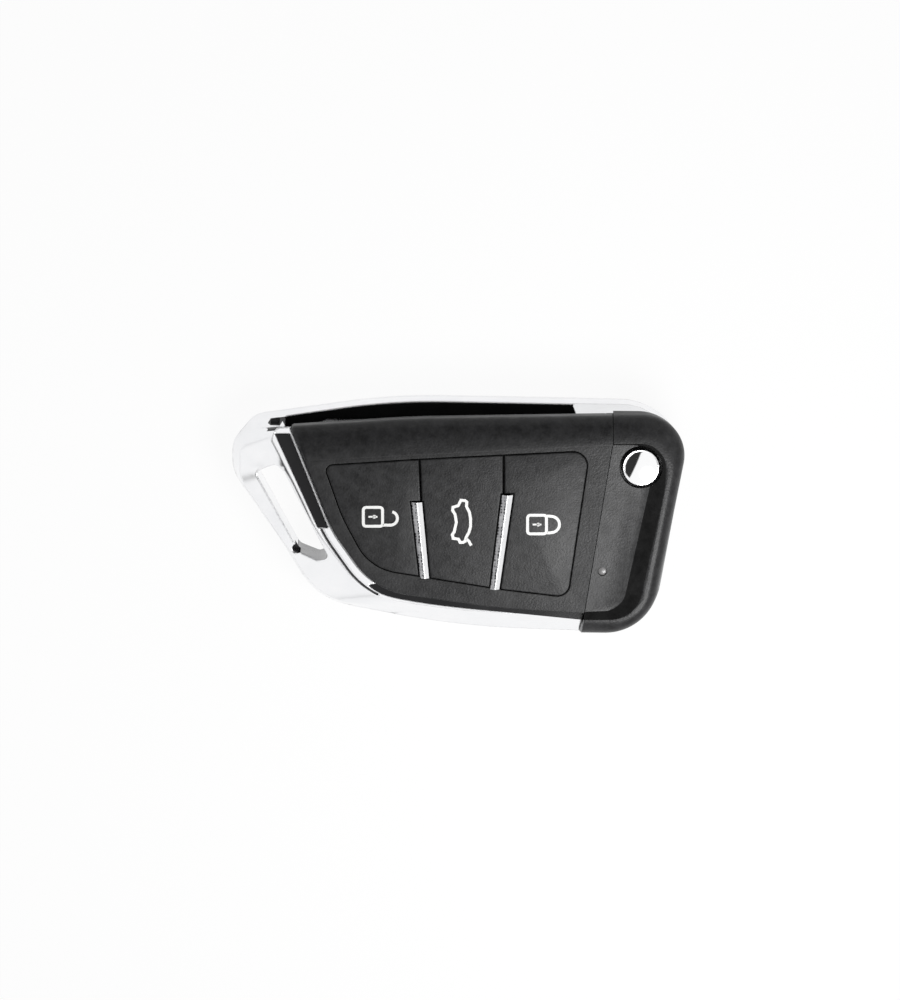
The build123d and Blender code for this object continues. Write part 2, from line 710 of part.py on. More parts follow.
# Pivot rear cover: back shell of the pivot end, with the pivot post in the well of the hub
with BuildPart() as pivot_rear_cover:
    loft([back_section(share * belt_height) for share in foot_shares_of_belt], ruled=True)
    loft([back_section(share * belt_height) for share in back_shares_of_belt])
    loft([wall_section(belt_height), wall_section(rail_top_height)], ruled=True)
    extrude(before_seam(-seam_gap), amount=full_height, mode=Mode.SUBTRACT)
    # Seat of the rail
    with BuildSketch(level(rail_foot_height)):
        add(rounded(outer_shares, Plane.XY, overrun))
        add(rounded(outer_shares, Plane.XY, -rail_width - fit_gap), mode=Mode.SUBTRACT)
        add(rail_reach(fit_gap, Plane.XY), mode=Mode.INTERSECT)
    extrude(amount=full_height, mode=Mode.SUBTRACT)
    # Hollow under the skirt, with a boss for each screw
    with BuildSketch(level(rear_floor)):
        add(rounded(outer_shares, Plane.XY, -back_inset))
        add(field(0, body_length, -body_width, skirt_hollow_end, Plane.XY), mode=Mode.INTERSECT)
        add(beyond_seam(shell_wall, Plane.XY), mode=Mode.INTERSECT)
        for share in screw_shares:
            with Locations((share[0] * half_length, share[1] * half_width)):
                Circle(rear_boss_radius, mode=Mode.SUBTRACT)
    extrude(amount=full_height, mode=Mode.SUBTRACT)
    for share in screw_shares:
        extrude(disc(share, 0, screw_head_radius + fit_gap), amount=screw_head_top_height, mode=Mode.SUBTRACT)
        extrude(disc(share, 0, screw_radius + running_gap), amount=full_height, mode=Mode.SUBTRACT)
    # Well of the hub and its post
    well_floor = hub_bottom_height - fit_gap
    extrude(disc(pivot_share, well_floor, hub_radius + running_gap), amount=full_height, mode=Mode.SUBTRACT)
    extrude(disc(pivot_share, well_floor, pivot_post_radius), amount=pivot_post_height - well_floor)
pivot_rear_cover.part.label = "pivot_rear_cover"
export_step(pivot_rear_cover.part, "parts/pivot_rear_cover.step")


# Screws of the pivot end, driven in from the back
with BuildPart() as case_screws:
    for share in screw_shares:
        extrude(disc(share, screw_sink, screw_head_radius), amount=screw_head_thickness)
        extrude(disc(share, screw_sink, screw_radius), amount=screw_tip_height - screw_sink)
        for length, width in ((screw_slot_length, screw_slot_width), (screw_slot_width, screw_slot_length)):
            extrude(tile(share, screw_sink, length, width), amount=screw_slot_depth, mode=Mode.SUBTRACT)
case_screws.part.label = "case_screws"
export_step(case_screws.part, "parts/case_screws.step")


# Rear cover: back shell under the electronics, with posts for the board and a pocket for the chip
rear_chip_length = chip_length + 2 * fit_gap
rear_chip_width = chip_width + 2 * fit_gap

with BuildPart() as rear_cover:
    extrude(rounded(rear_edge_shares, level(0)), amount=belt_height)
    extrude(beyond_seam(-seam_gap), amount=full_height, mode=Mode.SUBTRACT)
    fillet(rear_cover.faces().sort_by(Axis.Z)[0].edges(), rear_edge_share * corner_scale)
    with BuildSketch(level(rear_floor)):
        add(rounded(rear_edge_shares, Plane.XY, -shell_wall))
        add(before_seam(shell_wall, Plane.XY), mode=Mode.INTERSECT)
    extrude(amount=belt_height, mode=Mode.SUBTRACT)
    for share in post_shares:
        extrude(disc(share, rear_floor, post_radius), amount=board_height - rear_floor)
    with BuildSketch(Plane(origin=place(chip_pocket_share, rear_floor))):
        Rectangle(rear_chip_length + 2 * chip_pocket_wall, rear_chip_width + 2 * chip_pocket_wall)
        Rectangle(rear_chip_length, rear_chip_width, mode=Mode.SUBTRACT)
    extrude(amount=chip_thickness / 2)
rear_cover.part.label = "rear_cover"
export_step(rear_cover.part, "parts/rear_cover.step")

with BuildPart() as transponder_chip:
    extrude(tile(chip_pocket_share, rear_floor, chip_length, chip_width), amount=chip_thickness)
    fillet(transponder_chip.edges().filter_by(Axis.Z), chip_edge_radius)
transponder_chip.part.label = "transponder_chip"
export_step(transponder_chip.part, "parts/transponder_chip.step")


# Blade tray: floor of the blade bay and the wall between the bay and the electronics
tray_wall_end = tray_wall_end_share * half_length

with BuildPart() as blade_tray:
    with BuildSketch(level(tray_bottom_height)):
        add(field(slot_end + fit_gap, half_length, bay_line + fit_gap, body_width, Plane.XY))
        add(rounded(outer_shares, Plane.XY, -rail_width - fit_gap), mode=Mode.INTERSECT)
        add(before_seam(seam_gap, Plane.XY), mode=Mode.INTERSECT)
    extrude(amount=tray_thickness)
    # Wall along the bay, on a foot that meets the floor
    for wall_side, wall_top in ((bay_line + fit_gap, rail_top_height), (bay_line, cover_bottom_height)):
        with BuildSketch(level(tray_bottom_height)):
            add(rounded(cover_edge_shares, Plane.XY, -ledge_width - fit_gap))
            add(field(slot_end, tray_wall_end, bay_inner_line, wall_side, Plane.XY), mode=Mode.INTERSECT)
        extrude(amount=wall_top - tray_bottom_height)
blade_tray.part.label = "blade_tray"
export_step(blade_tray.part, "parts/blade_tray.step")


# Rubber mat under the keys
with BuildPart() as key_mat:
    with BuildSketch(level(mat_bottom_height)):
        add(rounded(cover_edge_shares, Plane.XY, -shell_wall - fit_gap))
        mat_limit = bay_inner_line - fit_gap
        add(field(-half_length, half_length, -body_width, mat_limit, Plane.XY), mode=Mode.INTERSECT)
        add(before_seam(shell_wall + fit_gap, Plane.XY), mode=Mode.INTERSECT)
        with Locations((pivot_share[0] * half_length, pivot_share[1] * half_width)):
            Circle(swing_radius, mode=Mode.SUBTRACT)
    extrude(amount=mat_thickness)
key_mat.part.label = "key_mat"
export_step(key_mat.part, "parts/key_mat.step")


# Circuit board with a tongue that reaches under the indicator window
window_x, window_y = corners([window_share])[0]
board_top_height = board_height + board_thickness

with BuildPart() as circuit_board:
    with BuildSketch(level(board_height)):
        add(rounded(cover_edge_shares, Plane.XY, -board_inset))
        board_limit = bay_inner_line - 2 * fit_gap
        add(field(-half_length, half_length, -body_width, board_limit, Plane.XY), mode=Mode.INTERSECT)
        add(before_seam(board_inset, Plane.XY), mode=Mode.INTERSECT)
        with Locations((pivot_share[0] * half_length, pivot_share[1] * half_width)):
            Circle(swing_radius, mode=Mode.SUBTRACT)
        tongue_start = window_x - tongue_length
        tongue_stop = window_x + tongue_end
        tongue_side = tongue_width / 2
        add(field(tongue_start, tongue_stop, window_y - tongue_side, window_y + tongue_side, Plane.XY))
    extrude(amount=board_thickness)
circuit_board.part.label = "circuit_board"
export_step(circuit_board.part, "parts/circuit_board.step")

switch_room = mat_bottom_height - board_top_height

with BuildPart() as tact_switches:
    for share in switch_shares:
        switch_body = tile(share, board_top_height, switch_width, switch_width)
        extrude(switch_body, amount=switch_height_share * switch_room)
        extrude(disc(share, board_top_height, plunger_radius), amount=switch_room)
tact_switches.part.label = "tact_switches"
export_step(tact_switches.part, "parts/tact_switches.step")

board_parts = (
    ("control_chip", control_chip_share, control_chip_width, control_chip_width, control_chip_height_share),
    ("radio_chip", radio_chip_share, radio_chip_width, radio_chip_width, radio_chip_height_share),
    ("crystal", crystal_share, crystal_length, crystal_width, crystal_height_share),
    ("indicator_lamp", window_share, lamp_length, lamp_width, lamp_height_share),
)
for part_name, share, length, width, height_share in board_parts:
    with BuildPart() as board_part:
        extrude(tile(share, board_top_height, length, width), amount=height_share * switch_room)
    board_part.part.label = part_name
    export_step(board_part.part, f"parts/{part_name}.step")


# Coin cell between its two contacts
battery_radius = battery_diameter / 2
battery_bottom_height = rear_floor + clip_thickness
battery_top_height = battery_bottom_height + battery_thickness

with BuildPart() as battery:
    can = disc(battery_share, battery_bottom_height, battery_radius)
    extrude(can, amount=battery_thickness - battery_cap_height)
    fillet(battery.edges().sort_by(Axis.Z)[0], battery_edge)
    cap = disc(battery_share, battery_bottom_height, battery_radius - battery_cap_inset)
    extrude(cap, amount=battery_thickness)
battery.part.label = "battery"
export_step(battery.part, "parts/battery.step")

with BuildPart() as battery_clip_positive:
    with BuildSketch(upright(battery_share)):
        inner = -battery_radius - clip_gap
        outer = inner - clip_thickness
        with BuildLine():
            Polyline(
                (outer, rear_floor),
                (clip_width, rear_floor),
                (clip_width, battery_bottom_height),
                (inner, battery_bottom_height),
                (inner, board_height),
                (outer, board_height),
                close=True,
            )
        make_face()
    extrude(amount=clip_width / 2, both=True)
battery_clip_positive.part.label = "battery_clip_positive"
export_step(battery_clip_positive.part, "parts/battery_clip_positive.step")

with BuildPart() as battery_clip_negative:
    with BuildSketch(upright(battery_share)):
        plate_low = board_height - clip_thickness
        with BuildLine():
            Polyline(
                (-clip_width, board_height),
                (-clip_width, plate_low),
                (clip_width - clip_finger_width, plate_low),
                (-clip_finger_width, battery_top_height),
                (0, battery_top_height),
                (clip_width, plate_low),
                (clip_width, board_height),
                close=True,
            )
        make_face()
    extrude(amount=clip_width / 2, both=True)
battery_clip_negative.part.label = "battery_clip_negative"
export_step(battery_clip_negative.part, "parts/battery_clip_negative.step")


# Immobiliser coil under the board: a core with a flange at each end and the winding round it
with BuildPart() as antenna_core:
    core_plane = Plane(origin=place(coil_share, board_height - coil_winding_height / 2))
    flange_reach = (coil_length - coil_flange_length) / 2
    with Locations(core_plane):
        Box(coil_length, coil_core_width, coil_core_height)
    for side in (-1, 1):
        flange_middle = core_plane.origin + side * flange_reach * core_plane.x_dir
        with Locations(Plane(origin=flange_middle)):
            Box(coil_flange_length, coil_winding_width, coil_winding_height)
antenna_core.part.label = "antenna_core"
export_step(antenna_core.part, "parts/antenna_core.step")

winding_length = coil_length - 2 * coil_flange_length - 2 * fit_gap

with BuildPart() as antenna_coil:
    with Locations(core_plane):
        Box(winding_length, coil_winding_width - 2 * fit_gap, coil_winding_height - 2 * fit_gap)
        Box(winding_length, coil_core_width, coil_core_height, mode=Mode.SUBTRACT)
antenna_coil.part.label = "antenna_coil"
export_step(antenna_coil.part, "parts/antenna_coil.step")


# Flip head: bright block that carries the blade, on a hollow hub
head_bottom_height = rail_top_height + head_play
head_top_height = cover_bottom_height - head_play
head_height = head_top_height - head_bottom_height
head_end = head_base_shares[0][0] * half_length
tang_end = head_end + tang_length
blade_line = blade_line_share * half_width
blade_bottom_height = (rail_top_height + cover_bottom_height - blade_thickness) / 2
hub_bore_floor = hub_bottom_height + hub_floor

with BuildPart() as flip_head:
    head_base = rounded(head_base_shares, level(head_bottom_height))
    loft([head_base, rounded(head_top_shares, level(head_top_height))], ruled=True)
    hub = disc(pivot_share, hub_bottom_height, hub_radius)
    extrude(hub, amount=head_bottom_height - hub_bottom_height)
    extrude(disc(pivot_share, hub_bore_floor, hub_bore_radius), amount=full_height, mode=Mode.SUBTRACT)
    extrude(disc(pivot_share, 0, pivot_post_radius + running_gap), amount=full_height, mode=Mode.SUBTRACT)
    # Slot of the tang and hole of the pin
    side = tang_width / 2 + fit_gap
    slot_bottom = level(blade_bottom_height - fit_gap)
    tang_slot = field(0, tang_end + fit_gap, blade_line - side, blade_line + side, slot_bottom)
    extrude(tang_slot, amount=blade_thickness + 2 * fit_gap, mode=Mode.SUBTRACT)
    pin_bottom_height = head_bottom_height + fit_gap
    extrude(disc(pin_share, pin_bottom_height, pin_radius + pin_play), amount=full_height, mode=Mode.SUBTRACT)
flip_head.part.label = "flip_head"
export_step(flip_head.part, "parts/flip_head.step")


# Plain blade with a groove along each face and a tang in the head
blade_side = blade_width / 2
tip_side = blade_tip_width / 2
tang_side = tang_width / 2
blade_root = head_end - fit_gap
blade_tip = tang_end - blade_length
groove_side = blade_groove_width / 2
blade_top_height = blade_bottom_height + blade_thickness

with BuildPart() as key_blade:
    half_outline = [
        (blade_tip, tip_side),
        (blade_tip + blade_tip_length, blade_side),
        (blade_root, blade_side),
        (blade_root, tang_side),
        (tang_end, tang_side),
    ]
    far_side = [(x, blade_line + y) for x, y in half_outline]
    near_side = [(x, blade_line - y) for x, y in reversed(half_outline)]
    extrude(polygon(far_side + near_side, level(blade_bottom_height)), amount=blade_thickness)
    groove_start = blade_tip - overrun
    groove_end = blade_root - blade_tip_length
    for offset_side, groove_bottom in ((1, blade_top_height - blade_groove_depth), (-1, blade_bottom_height)):
        line = blade_line + offset_side * groove_side
        groove = field(groove_start, groove_end, line - groove_side, line + groove_side, level(groove_bottom))
        extrude(groove, amount=blade_groove_depth, mode=Mode.SUBTRACT)
    extrude(disc(pin_share, 0, pin_radius + pin_play), amount=full_height, mode=Mode.SUBTRACT)
key_blade.part.label = "key_blade"
export_step(key_blade.part, "parts/key_blade.step")

with BuildPart() as blade_pin:
    pin_length = head_height - 2 * fit_gap
    extrude(disc(pin_share, pin_bottom_height, pin_radius), amount=pin_length)
    extrude(disc(pin_share, pin_bottom_height, pin_bore_radius), amount=pin_length, mode=Mode.SUBTRACT)
blade_pin.part.label = "blade_pin"
export_step(blade_pin.part, "parts/blade_pin.step")


# Release button: domed cap, stem and a flange that stops under the pivot cover
button_flange_top = cover_bottom_height - fit_gap
button_flange_bottom = button_flange_top - button_flange_thickness
button_top_height = body_height - button_sink
button_shoulder = button_top_height - button_dome_height
button_post_bore = pivot_post_radius + post_bore_gap
button_bore_top = button_flange_bottom + post_bore_depth
dome_radius = (button_radius**2 + button_dome_height**2) / (2 * button_dome_height)

with BuildPart() as release_button:
    with BuildSketch(upright(pivot_share)):
        with BuildLine():
            Polyline(
                (0, button_bore_top),
                (button_post_bore, button_bore_top),
                (button_post_bore, button_flange_bottom),
                (button_flange_radius, button_flange_bottom),
                (button_flange_radius, button_flange_top),
                (button_radius, button_flange_top),
                (button_radius, button_shoulder),
            )
            RadiusArc((button_radius, button_shoulder), (0, button_top_height), -dome_radius)
            Line((0, button_top_height), (0, button_bore_top))
        make_face()
    revolve(axis=Axis(pivot_point, (0, 0, 1)))
release_button.part.label = "release_button"
export_step(release_button.part, "parts/release_button.step")


# Coil spring between the floor of the hub and the flange of the button
spring_bottom = hub_bore_floor + spring_wire_radius + spring_end_gap
spring_top = button_flange_bottom - spring_wire_radius - spring_end_gap
spring_pitch = (spring_top - spring_bottom) / spring_turns
quarters = 4 * spring_turns


def spring_point(quarter):
    """A point on the spring's helix and the direction there, after some quarter turns."""
    turn = quarter * math.pi / 2
    rise = spring_pitch / (2 * math.pi)
    centre = Vector(*place(pivot_share, spring_bottom + rise * turn))
    radial = Vector(math.cos(turn), math.sin(turn), 0) * spring_coil_radius
    ahead = Vector(-math.sin(turn), math.cos(turn), 0) * spring_coil_radius + Vector(0, 0, rise)
    return centre + radial, ahead.normalized()


def biarc_joint(start, start_ahead, end, end_ahead):
    """The point where two arcs meet that join the two ends smoothly."""
    chord = end - start
    both = start_ahead + end_ahead
    spread = 2 * (1 - start_ahead.dot(end_ahead))
    along = chord.dot(both)
    reach = (math.sqrt(along**2 + spread * chord.dot(chord)) - along) / spread
    return (start + start_ahead * reach + end - end_ahead * reach) / 2


with BuildPart() as pivot_spring:
    with BuildLine() as spring_line:
        first_point, first_ahead = spring_point(0)
        Line(first_point - first_ahead * 2 * spring_wire_radius, first_point)
        for quarter in range(quarters):
            start, start_ahead = spring_point(quarter)
            end, end_ahead = spring_point(quarter + 1)
            joint = biarc_joint(start, start_ahead, end, end_ahead)
            arc = TangentArc(start, joint, tangent=start_ahead)
            TangentArc(joint, end, tangent=arc % 1)
        Line(end, end + end_ahead * 2 * spring_wire_radius)
    with BuildSketch(Plane(origin=spring_line.wire() @ 0, z_dir=first_ahead)):
        Circle(spring_wire_radius)
    sweep()
pivot_spring.part.label = "pivot_spring"
export_step(pivot_spring.part, "parts/pivot_spring.step")
print("least gap between turns of the spring", spring_pitch - 2 * spring_wire_radius)


# Window of the indicator lamp: a clear pin with a collar under the pivot cover
window_face_height = body_height - face_drop - window_sink
window_foot_height = board_top_height + lamp_height_share * switch_room + window_lamp_gap

with BuildPart() as indicator_window:
    window_pin = disc(window_share, window_foot_height, window_radius)
    extrude(window_pin, amount=window_face_height - window_foot_height)
    collar = disc(window_share, pivot_hollow_top_height - window_collar_thickness, window_collar_radius)
    extrude(collar, amount=window_collar_thickness)
indicator_window.part.label = "indicator_window"
export_step(indicator_window.part, "parts/indicator_window.step")
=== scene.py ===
"""Looks of a folding car key fob: bright frame, black covers, three keys, two bars, button and folded blade."""

from __future__ import annotations

import logging
import math
from collections.abc import Callable, Iterable, Iterator, Sequence
from contextlib import contextmanager
from dataclasses import dataclass
from enum import Enum

import bmesh
import bpy
from mathutils import Euler, Matrix, Vector


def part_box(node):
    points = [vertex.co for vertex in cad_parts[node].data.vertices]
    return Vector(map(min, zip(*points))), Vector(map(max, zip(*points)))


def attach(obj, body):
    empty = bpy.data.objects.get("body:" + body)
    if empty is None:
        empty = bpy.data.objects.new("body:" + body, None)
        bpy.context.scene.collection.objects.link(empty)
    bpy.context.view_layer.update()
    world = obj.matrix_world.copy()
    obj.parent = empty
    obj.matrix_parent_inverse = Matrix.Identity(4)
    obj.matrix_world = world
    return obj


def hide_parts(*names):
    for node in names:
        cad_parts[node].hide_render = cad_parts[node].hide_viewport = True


logging.basicConfig(level=logging.INFO, format="%(message)s")
log = logging.getLogger("key_fob")

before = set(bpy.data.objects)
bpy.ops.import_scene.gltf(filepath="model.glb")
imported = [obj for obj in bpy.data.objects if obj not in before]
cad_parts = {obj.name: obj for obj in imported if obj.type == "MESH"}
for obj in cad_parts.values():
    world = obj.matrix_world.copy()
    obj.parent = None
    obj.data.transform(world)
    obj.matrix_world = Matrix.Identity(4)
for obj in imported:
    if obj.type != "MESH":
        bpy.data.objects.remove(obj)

# A millimetre in metres.
MM = 0.001
# The release button's axis, in the frame and in the plan that was read off the photograph, in millimetres.
BUTTON_LOW, BUTTON_HIGH = (Vector(corner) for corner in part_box("release_button"))
PIVOT = (BUTTON_LOW + BUTTON_HIGH) / 2 / MM
PIVOT_PLAN = Vector((31.395, 10.0914, 0.0))
PLAN_SHIFT = Vector((PIVOT.x - PIVOT_PLAN.x, PIVOT.y - PIVOT_PLAN.y, 0.0))
# The keys' top face: its height in millimetres and its slope along the fob.
FACE_HEIGHT = 14.995
FACE_SLOPE_DEG = 0.85
WHITE = (1.0, 1.0, 1.0, 1.0)
BLACK = (0.0, 0.0, 0.0, 1.0)


def plan(x: float, y: float) -> Vector:
    """A place of the fob's plan in the frame, in millimetres."""
    return Vector((x, y, 0.0)) + PLAN_SHIFT


def box_of(node: str) -> list[Vector]:
    """The lowest and highest corner of a CAD node, in millimetres."""
    return [Vector(corner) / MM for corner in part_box(node)]


def middle_of(face: bmesh.types.BMFace) -> Vector:
    """The middle of a face, in millimetres."""
    return face.calc_center_median() / MM


class Body(Enum):
    """The bodies of the frame that pieces ride on."""

    CASE = "case"
    BLADE = "blade_assembly"
    BUTTON = "release_button"
    UNLOCK = "unlock_key"
    BOOT = "boot_key"
    LOCK = "lock_key"


class Pattern(Enum):
    """The kinds of surface detail that a finish can have."""

    MOULDED = "moulded"
    PLATED = "plated"
    BRUSHED = "brushed"
    WOUND = "wound"
    PRINTED = "printed"
    DOTTED = "dotted"
    LACQUERED = "lacquered"


@dataclass(frozen=True)
class Finish:
    """One finish of the fob.

    Attributes:
        name: Name of the material.
        pattern: Kind of surface detail.
        colour: Linear base colour.
        drift: Linear colour that the base drifts towards in places.
        worn: Linear colour of rubbed edges.
        wear: How much the edges are rubbed, 0 to 1.
        roughness: Lowest and highest roughness.
        metallic: 1 for metals.
        grain: Cells of the grain per metre.
        depth: Height of the grain in metres.
        edge: Radius by which sharp edges look rounded, in metres.
        mottle: Patches of the drift per metre.
        coat: Weight of a clear coat.
        shine: Specular level, 0.5 for common plastic.
        slot: The record's material slot, where it has another name than the finish. Not used.
    """

    name: str
    pattern: Pattern
    colour: tuple[float, float, float]
    drift: tuple[float, float, float]
    worn: tuple[float, float, float] = (0.2, 0.2, 0.2)
    wear: float = 0.0
    roughness: tuple[float, float] = (0.4, 0.5)
    metallic: float = 0.0
    grain: float = 3000.0
    depth: float = 0.00001
    edge: float = 0.00015
    mottle: float = 90.0
    coat: float = 0.0
    shine: float = 0.5
    slot: str = ""


class Socket(Enum):
    """Socket types of the shared node groups."""

    VALUE = "NodeSocketFloat"
    COLOUR = "NodeSocketColor"
    VECTOR = "NodeSocketVector"


SOCKETS = {
    "Place": Socket.VECTOR, "Scale": Socket.VALUE, "Low": Socket.VALUE, "High": Socket.VALUE, "Amount": Socket.VALUE,
    "Height": Socket.VALUE, "Roughness": Socket.VALUE, "Base": Socket.COLOUR, "Drift": Socket.COLOUR,
    "Worn": Socket.COLOUR, "Dark": Socket.COLOUR, "Color": Socket.COLOUR,
}
# Patches per metre that break up the wear along edges.
WEAR_SCALE = 900.0


class Nodes:
    """Adds and links the nodes of one tree."""

    def __init__(self, tree: bpy.types.NodeTree) -> None:
        """Starts on a tree."""
        self.tree = tree

    def fill(self, node: bpy.types.Node, inputs: dict[str | int, object]) -> None:
        """Sets or links inputs of a node.

        Args:
            node: The node.
            inputs: For each input, by name or number, its value or the socket that feeds it.
        """
        for title, value in inputs.items():
            if isinstance(value, bpy.types.NodeSocket):
                self.tree.links.new(value, node.inputs[title])
            else:
                node.inputs[title].default_value = value

    def add(self, kind: str, inputs: dict[str | int, object] | None = None, **options: object) -> bpy.types.Node:
        """Adds a shader node.

        Args:
            kind: Its type.
            inputs: For each input, by name or number, its value or the socket that feeds it.
            **options: Its own settings.

        Returns:
            The node.
        """
        node = self.tree.nodes.new(f"ShaderNode{kind}")
        for title, value in options.items():
            setattr(node, title, value)
        self.fill(node, inputs or {})
        return node

    def math(self, operation: str, first: object, second: object, **options: object) -> bpy.types.NodeSocket:
        """Joins two values.

        Args:
            operation: What is done with them.
            first: A value or a socket.
            second: A value or a socket.
            **options: Other settings of the node.

        Returns:
            The joined value.
        """
        return self.add("Math", {0: first, 1: second}, operation=operation, **options).outputs[0]

    def ramp(
        self, value: bpy.types.NodeSocket, low: float, high: float, start: object = 0.0, end: object = 1.0
    ) -> bpy.types.NodeSocket:
        """Turns a value into another that changes evenly between two limits.

        Args:
            value: The value.
            low: Where the change starts.
            high: Where it ends.
            start: What is given below low.
            end: What is given above high.

        Returns:
            The new value.
        """
        limits = {"Value": value, "From Min": low, "From Max": high, "To Min": start, "To Max": end}
        return self.add("MapRange", limits).outputs["Result"]

    def mix(self, share: bpy.types.NodeSocket, base: object, other: object) -> bpy.types.NodeSocket:
        """Mixes two colours.

        Args:
            share: Share of the second colour.
            base: The first colour, or its socket.
            other: The second colour, or its socket.

        Returns:
            The mixed colour.
        """
        return self.add("Mix", {"Factor": share, "A": base, "B": other}, data_type="RGBA").outputs["Result"]


class GroupMaker(Nodes):
    """Makes the nodes of one shared group from what it is given."""

    def __init__(self, tree: bpy.types.NodeTree, inputs: Sequence[str]) -> None:
        """Starts on a group.

        Args:
            tree: The group.
            inputs: Names of its inputs.
        """
        super().__init__(tree)
        start = tree.nodes.new("NodeGroupInput")
        self.given = {title: start.outputs[title] for title in inputs}
        self.spot = {"Vector": self.given["Place"], "Scale": self.given.get("Scale", WEAR_SCALE)}

    def moulded_grain(self) -> bpy.types.NodeSocket:
        """Fine pits and bumps of a spark-eroded mould.

        Returns:
            The height.
        """
        cells = self.add("TexVoronoi", self.spot, feature="SMOOTH_F1")
        noise = self.add("TexNoise", {**self.spot, "Detail": 5.0, "Roughness": 0.62})
        return self.math("ADD", cells.outputs["Distance"], noise.outputs["Fac"])

    def brushed_lines(self) -> bpy.types.NodeSocket:
        """Long thin lines left by brushing or drawing metal.

        Returns:
            The height.
        """
        stretch = self.add("VectorMath", {0: self.given["Place"], 1: (0.02, 1.0, 1.0)}, operation="MULTIPLY")
        return self.add("TexNoise", {**self.spot, "Vector": stretch.outputs[0], "Detail": 4.0}).outputs["Fac"]

    def tone_drift(self) -> bpy.types.NodeSocket:
        """A slow drift between two colours.

        Returns:
            The colour.
        """
        noise = self.add("TexNoise", {**self.spot, "Detail": 6.0, "Roughness": 0.75})
        return self.mix(self.ramp(noise.outputs["Fac"], 0.36, 0.64), self.given["Base"], self.given["Drift"])

    def handling_marks(self) -> bpy.types.NodeSocket:
        """Roughness that changes with finger marks and fine rubbing.

        Returns:
            The roughness.
        """
        noise = self.add("TexNoise", {**self.spot, "Detail": 6.0, "Distortion": 0.6})
        return self.ramp(noise.outputs["Fac"], 0.3, 0.7, self.given["Low"], self.given["High"])

    def dot_rows(self) -> bpy.types.NodeSocket:
        """Fine dark dots close together, as on a knurled strip.

        Returns:
            The colour.
        """
        cells = self.add("TexVoronoi", {**self.spot, "Randomness": 0.35})
        dot = self.ramp(cells.outputs["Distance"], 0.25, 0.5, 1.0, 0.0)
        return self.mix(dot, self.given["Base"], self.given["Dark"])

    def edge_wear(self) -> bpy.types.NodeSocket:
        """Lighter colour along outer edges, broken up by noise.

        Returns:
            The colour.
        """
        ridge = self.ramp(self.add("NewGeometry").outputs["Pointiness"], 0.52, 0.62)
        noise = self.add("TexNoise", {**self.spot, "Detail": 4.0})
        broken = self.math("MULTIPLY", ridge, noise.outputs["Fac"])
        amount = self.math("MULTIPLY", broken, self.given["Amount"], use_clamp=True)
        return self.mix(amount, self.given["Base"], self.given["Worn"])


class GroupBook:
    """The shader node groups that several materials share, each built once.

    Attributes:
        plans: How each group is made, its inputs and its output.
    """

    plans: dict[str, tuple[Callable[[GroupMaker], bpy.types.NodeSocket], tuple[str, ...], str]] = {
        "moulded_grain": (GroupMaker.moulded_grain, ("Place", "Scale"), "Height"),
        "brushed_lines": (GroupMaker.brushed_lines, ("Place", "Scale"), "Height"),
        "tone_drift": (GroupMaker.tone_drift, ("Place", "Scale", "Base", "Drift"), "Color"),
        "handling_marks": (GroupMaker.handling_marks, ("Place", "Scale", "Low", "High"), "Roughness"),
        "dot_rows": (GroupMaker.dot_rows, ("Place", "Scale", "Base", "Dark"), "Color"),
        "edge_wear": (GroupMaker.edge_wear, ("Place", "Base", "Worn", "Amount"), "Color"),
    }

    def __init__(self) -> None:
        """Starts with no groups."""
        self._groups: dict[str, bpy.types.ShaderNodeTree] = {}

    def get(self, name: str) -> bpy.types.ShaderNodeTree:
        """Gives a group by name, building it the first time.

        Args:
            name: One of the names in plans.

        Returns:
            The node group.
        """
        if name not in self._groups:
            make, inputs, output = self.plans[name]
            tree = bpy.data.node_groups.new(name, "ShaderNodeTree")
            for title, way in (*((title, "INPUT") for title in inputs), (output, "OUTPUT")):
                tree.interface.new_socket(name=title, in_out=way, socket_type=SOCKETS[title].value)
            result = make(GroupMaker(tree, inputs))
            tree.links.new(result, tree.nodes.new("NodeGroupOutput").inputs[output])
            self._groups[name] = tree
        return self._groups[name]


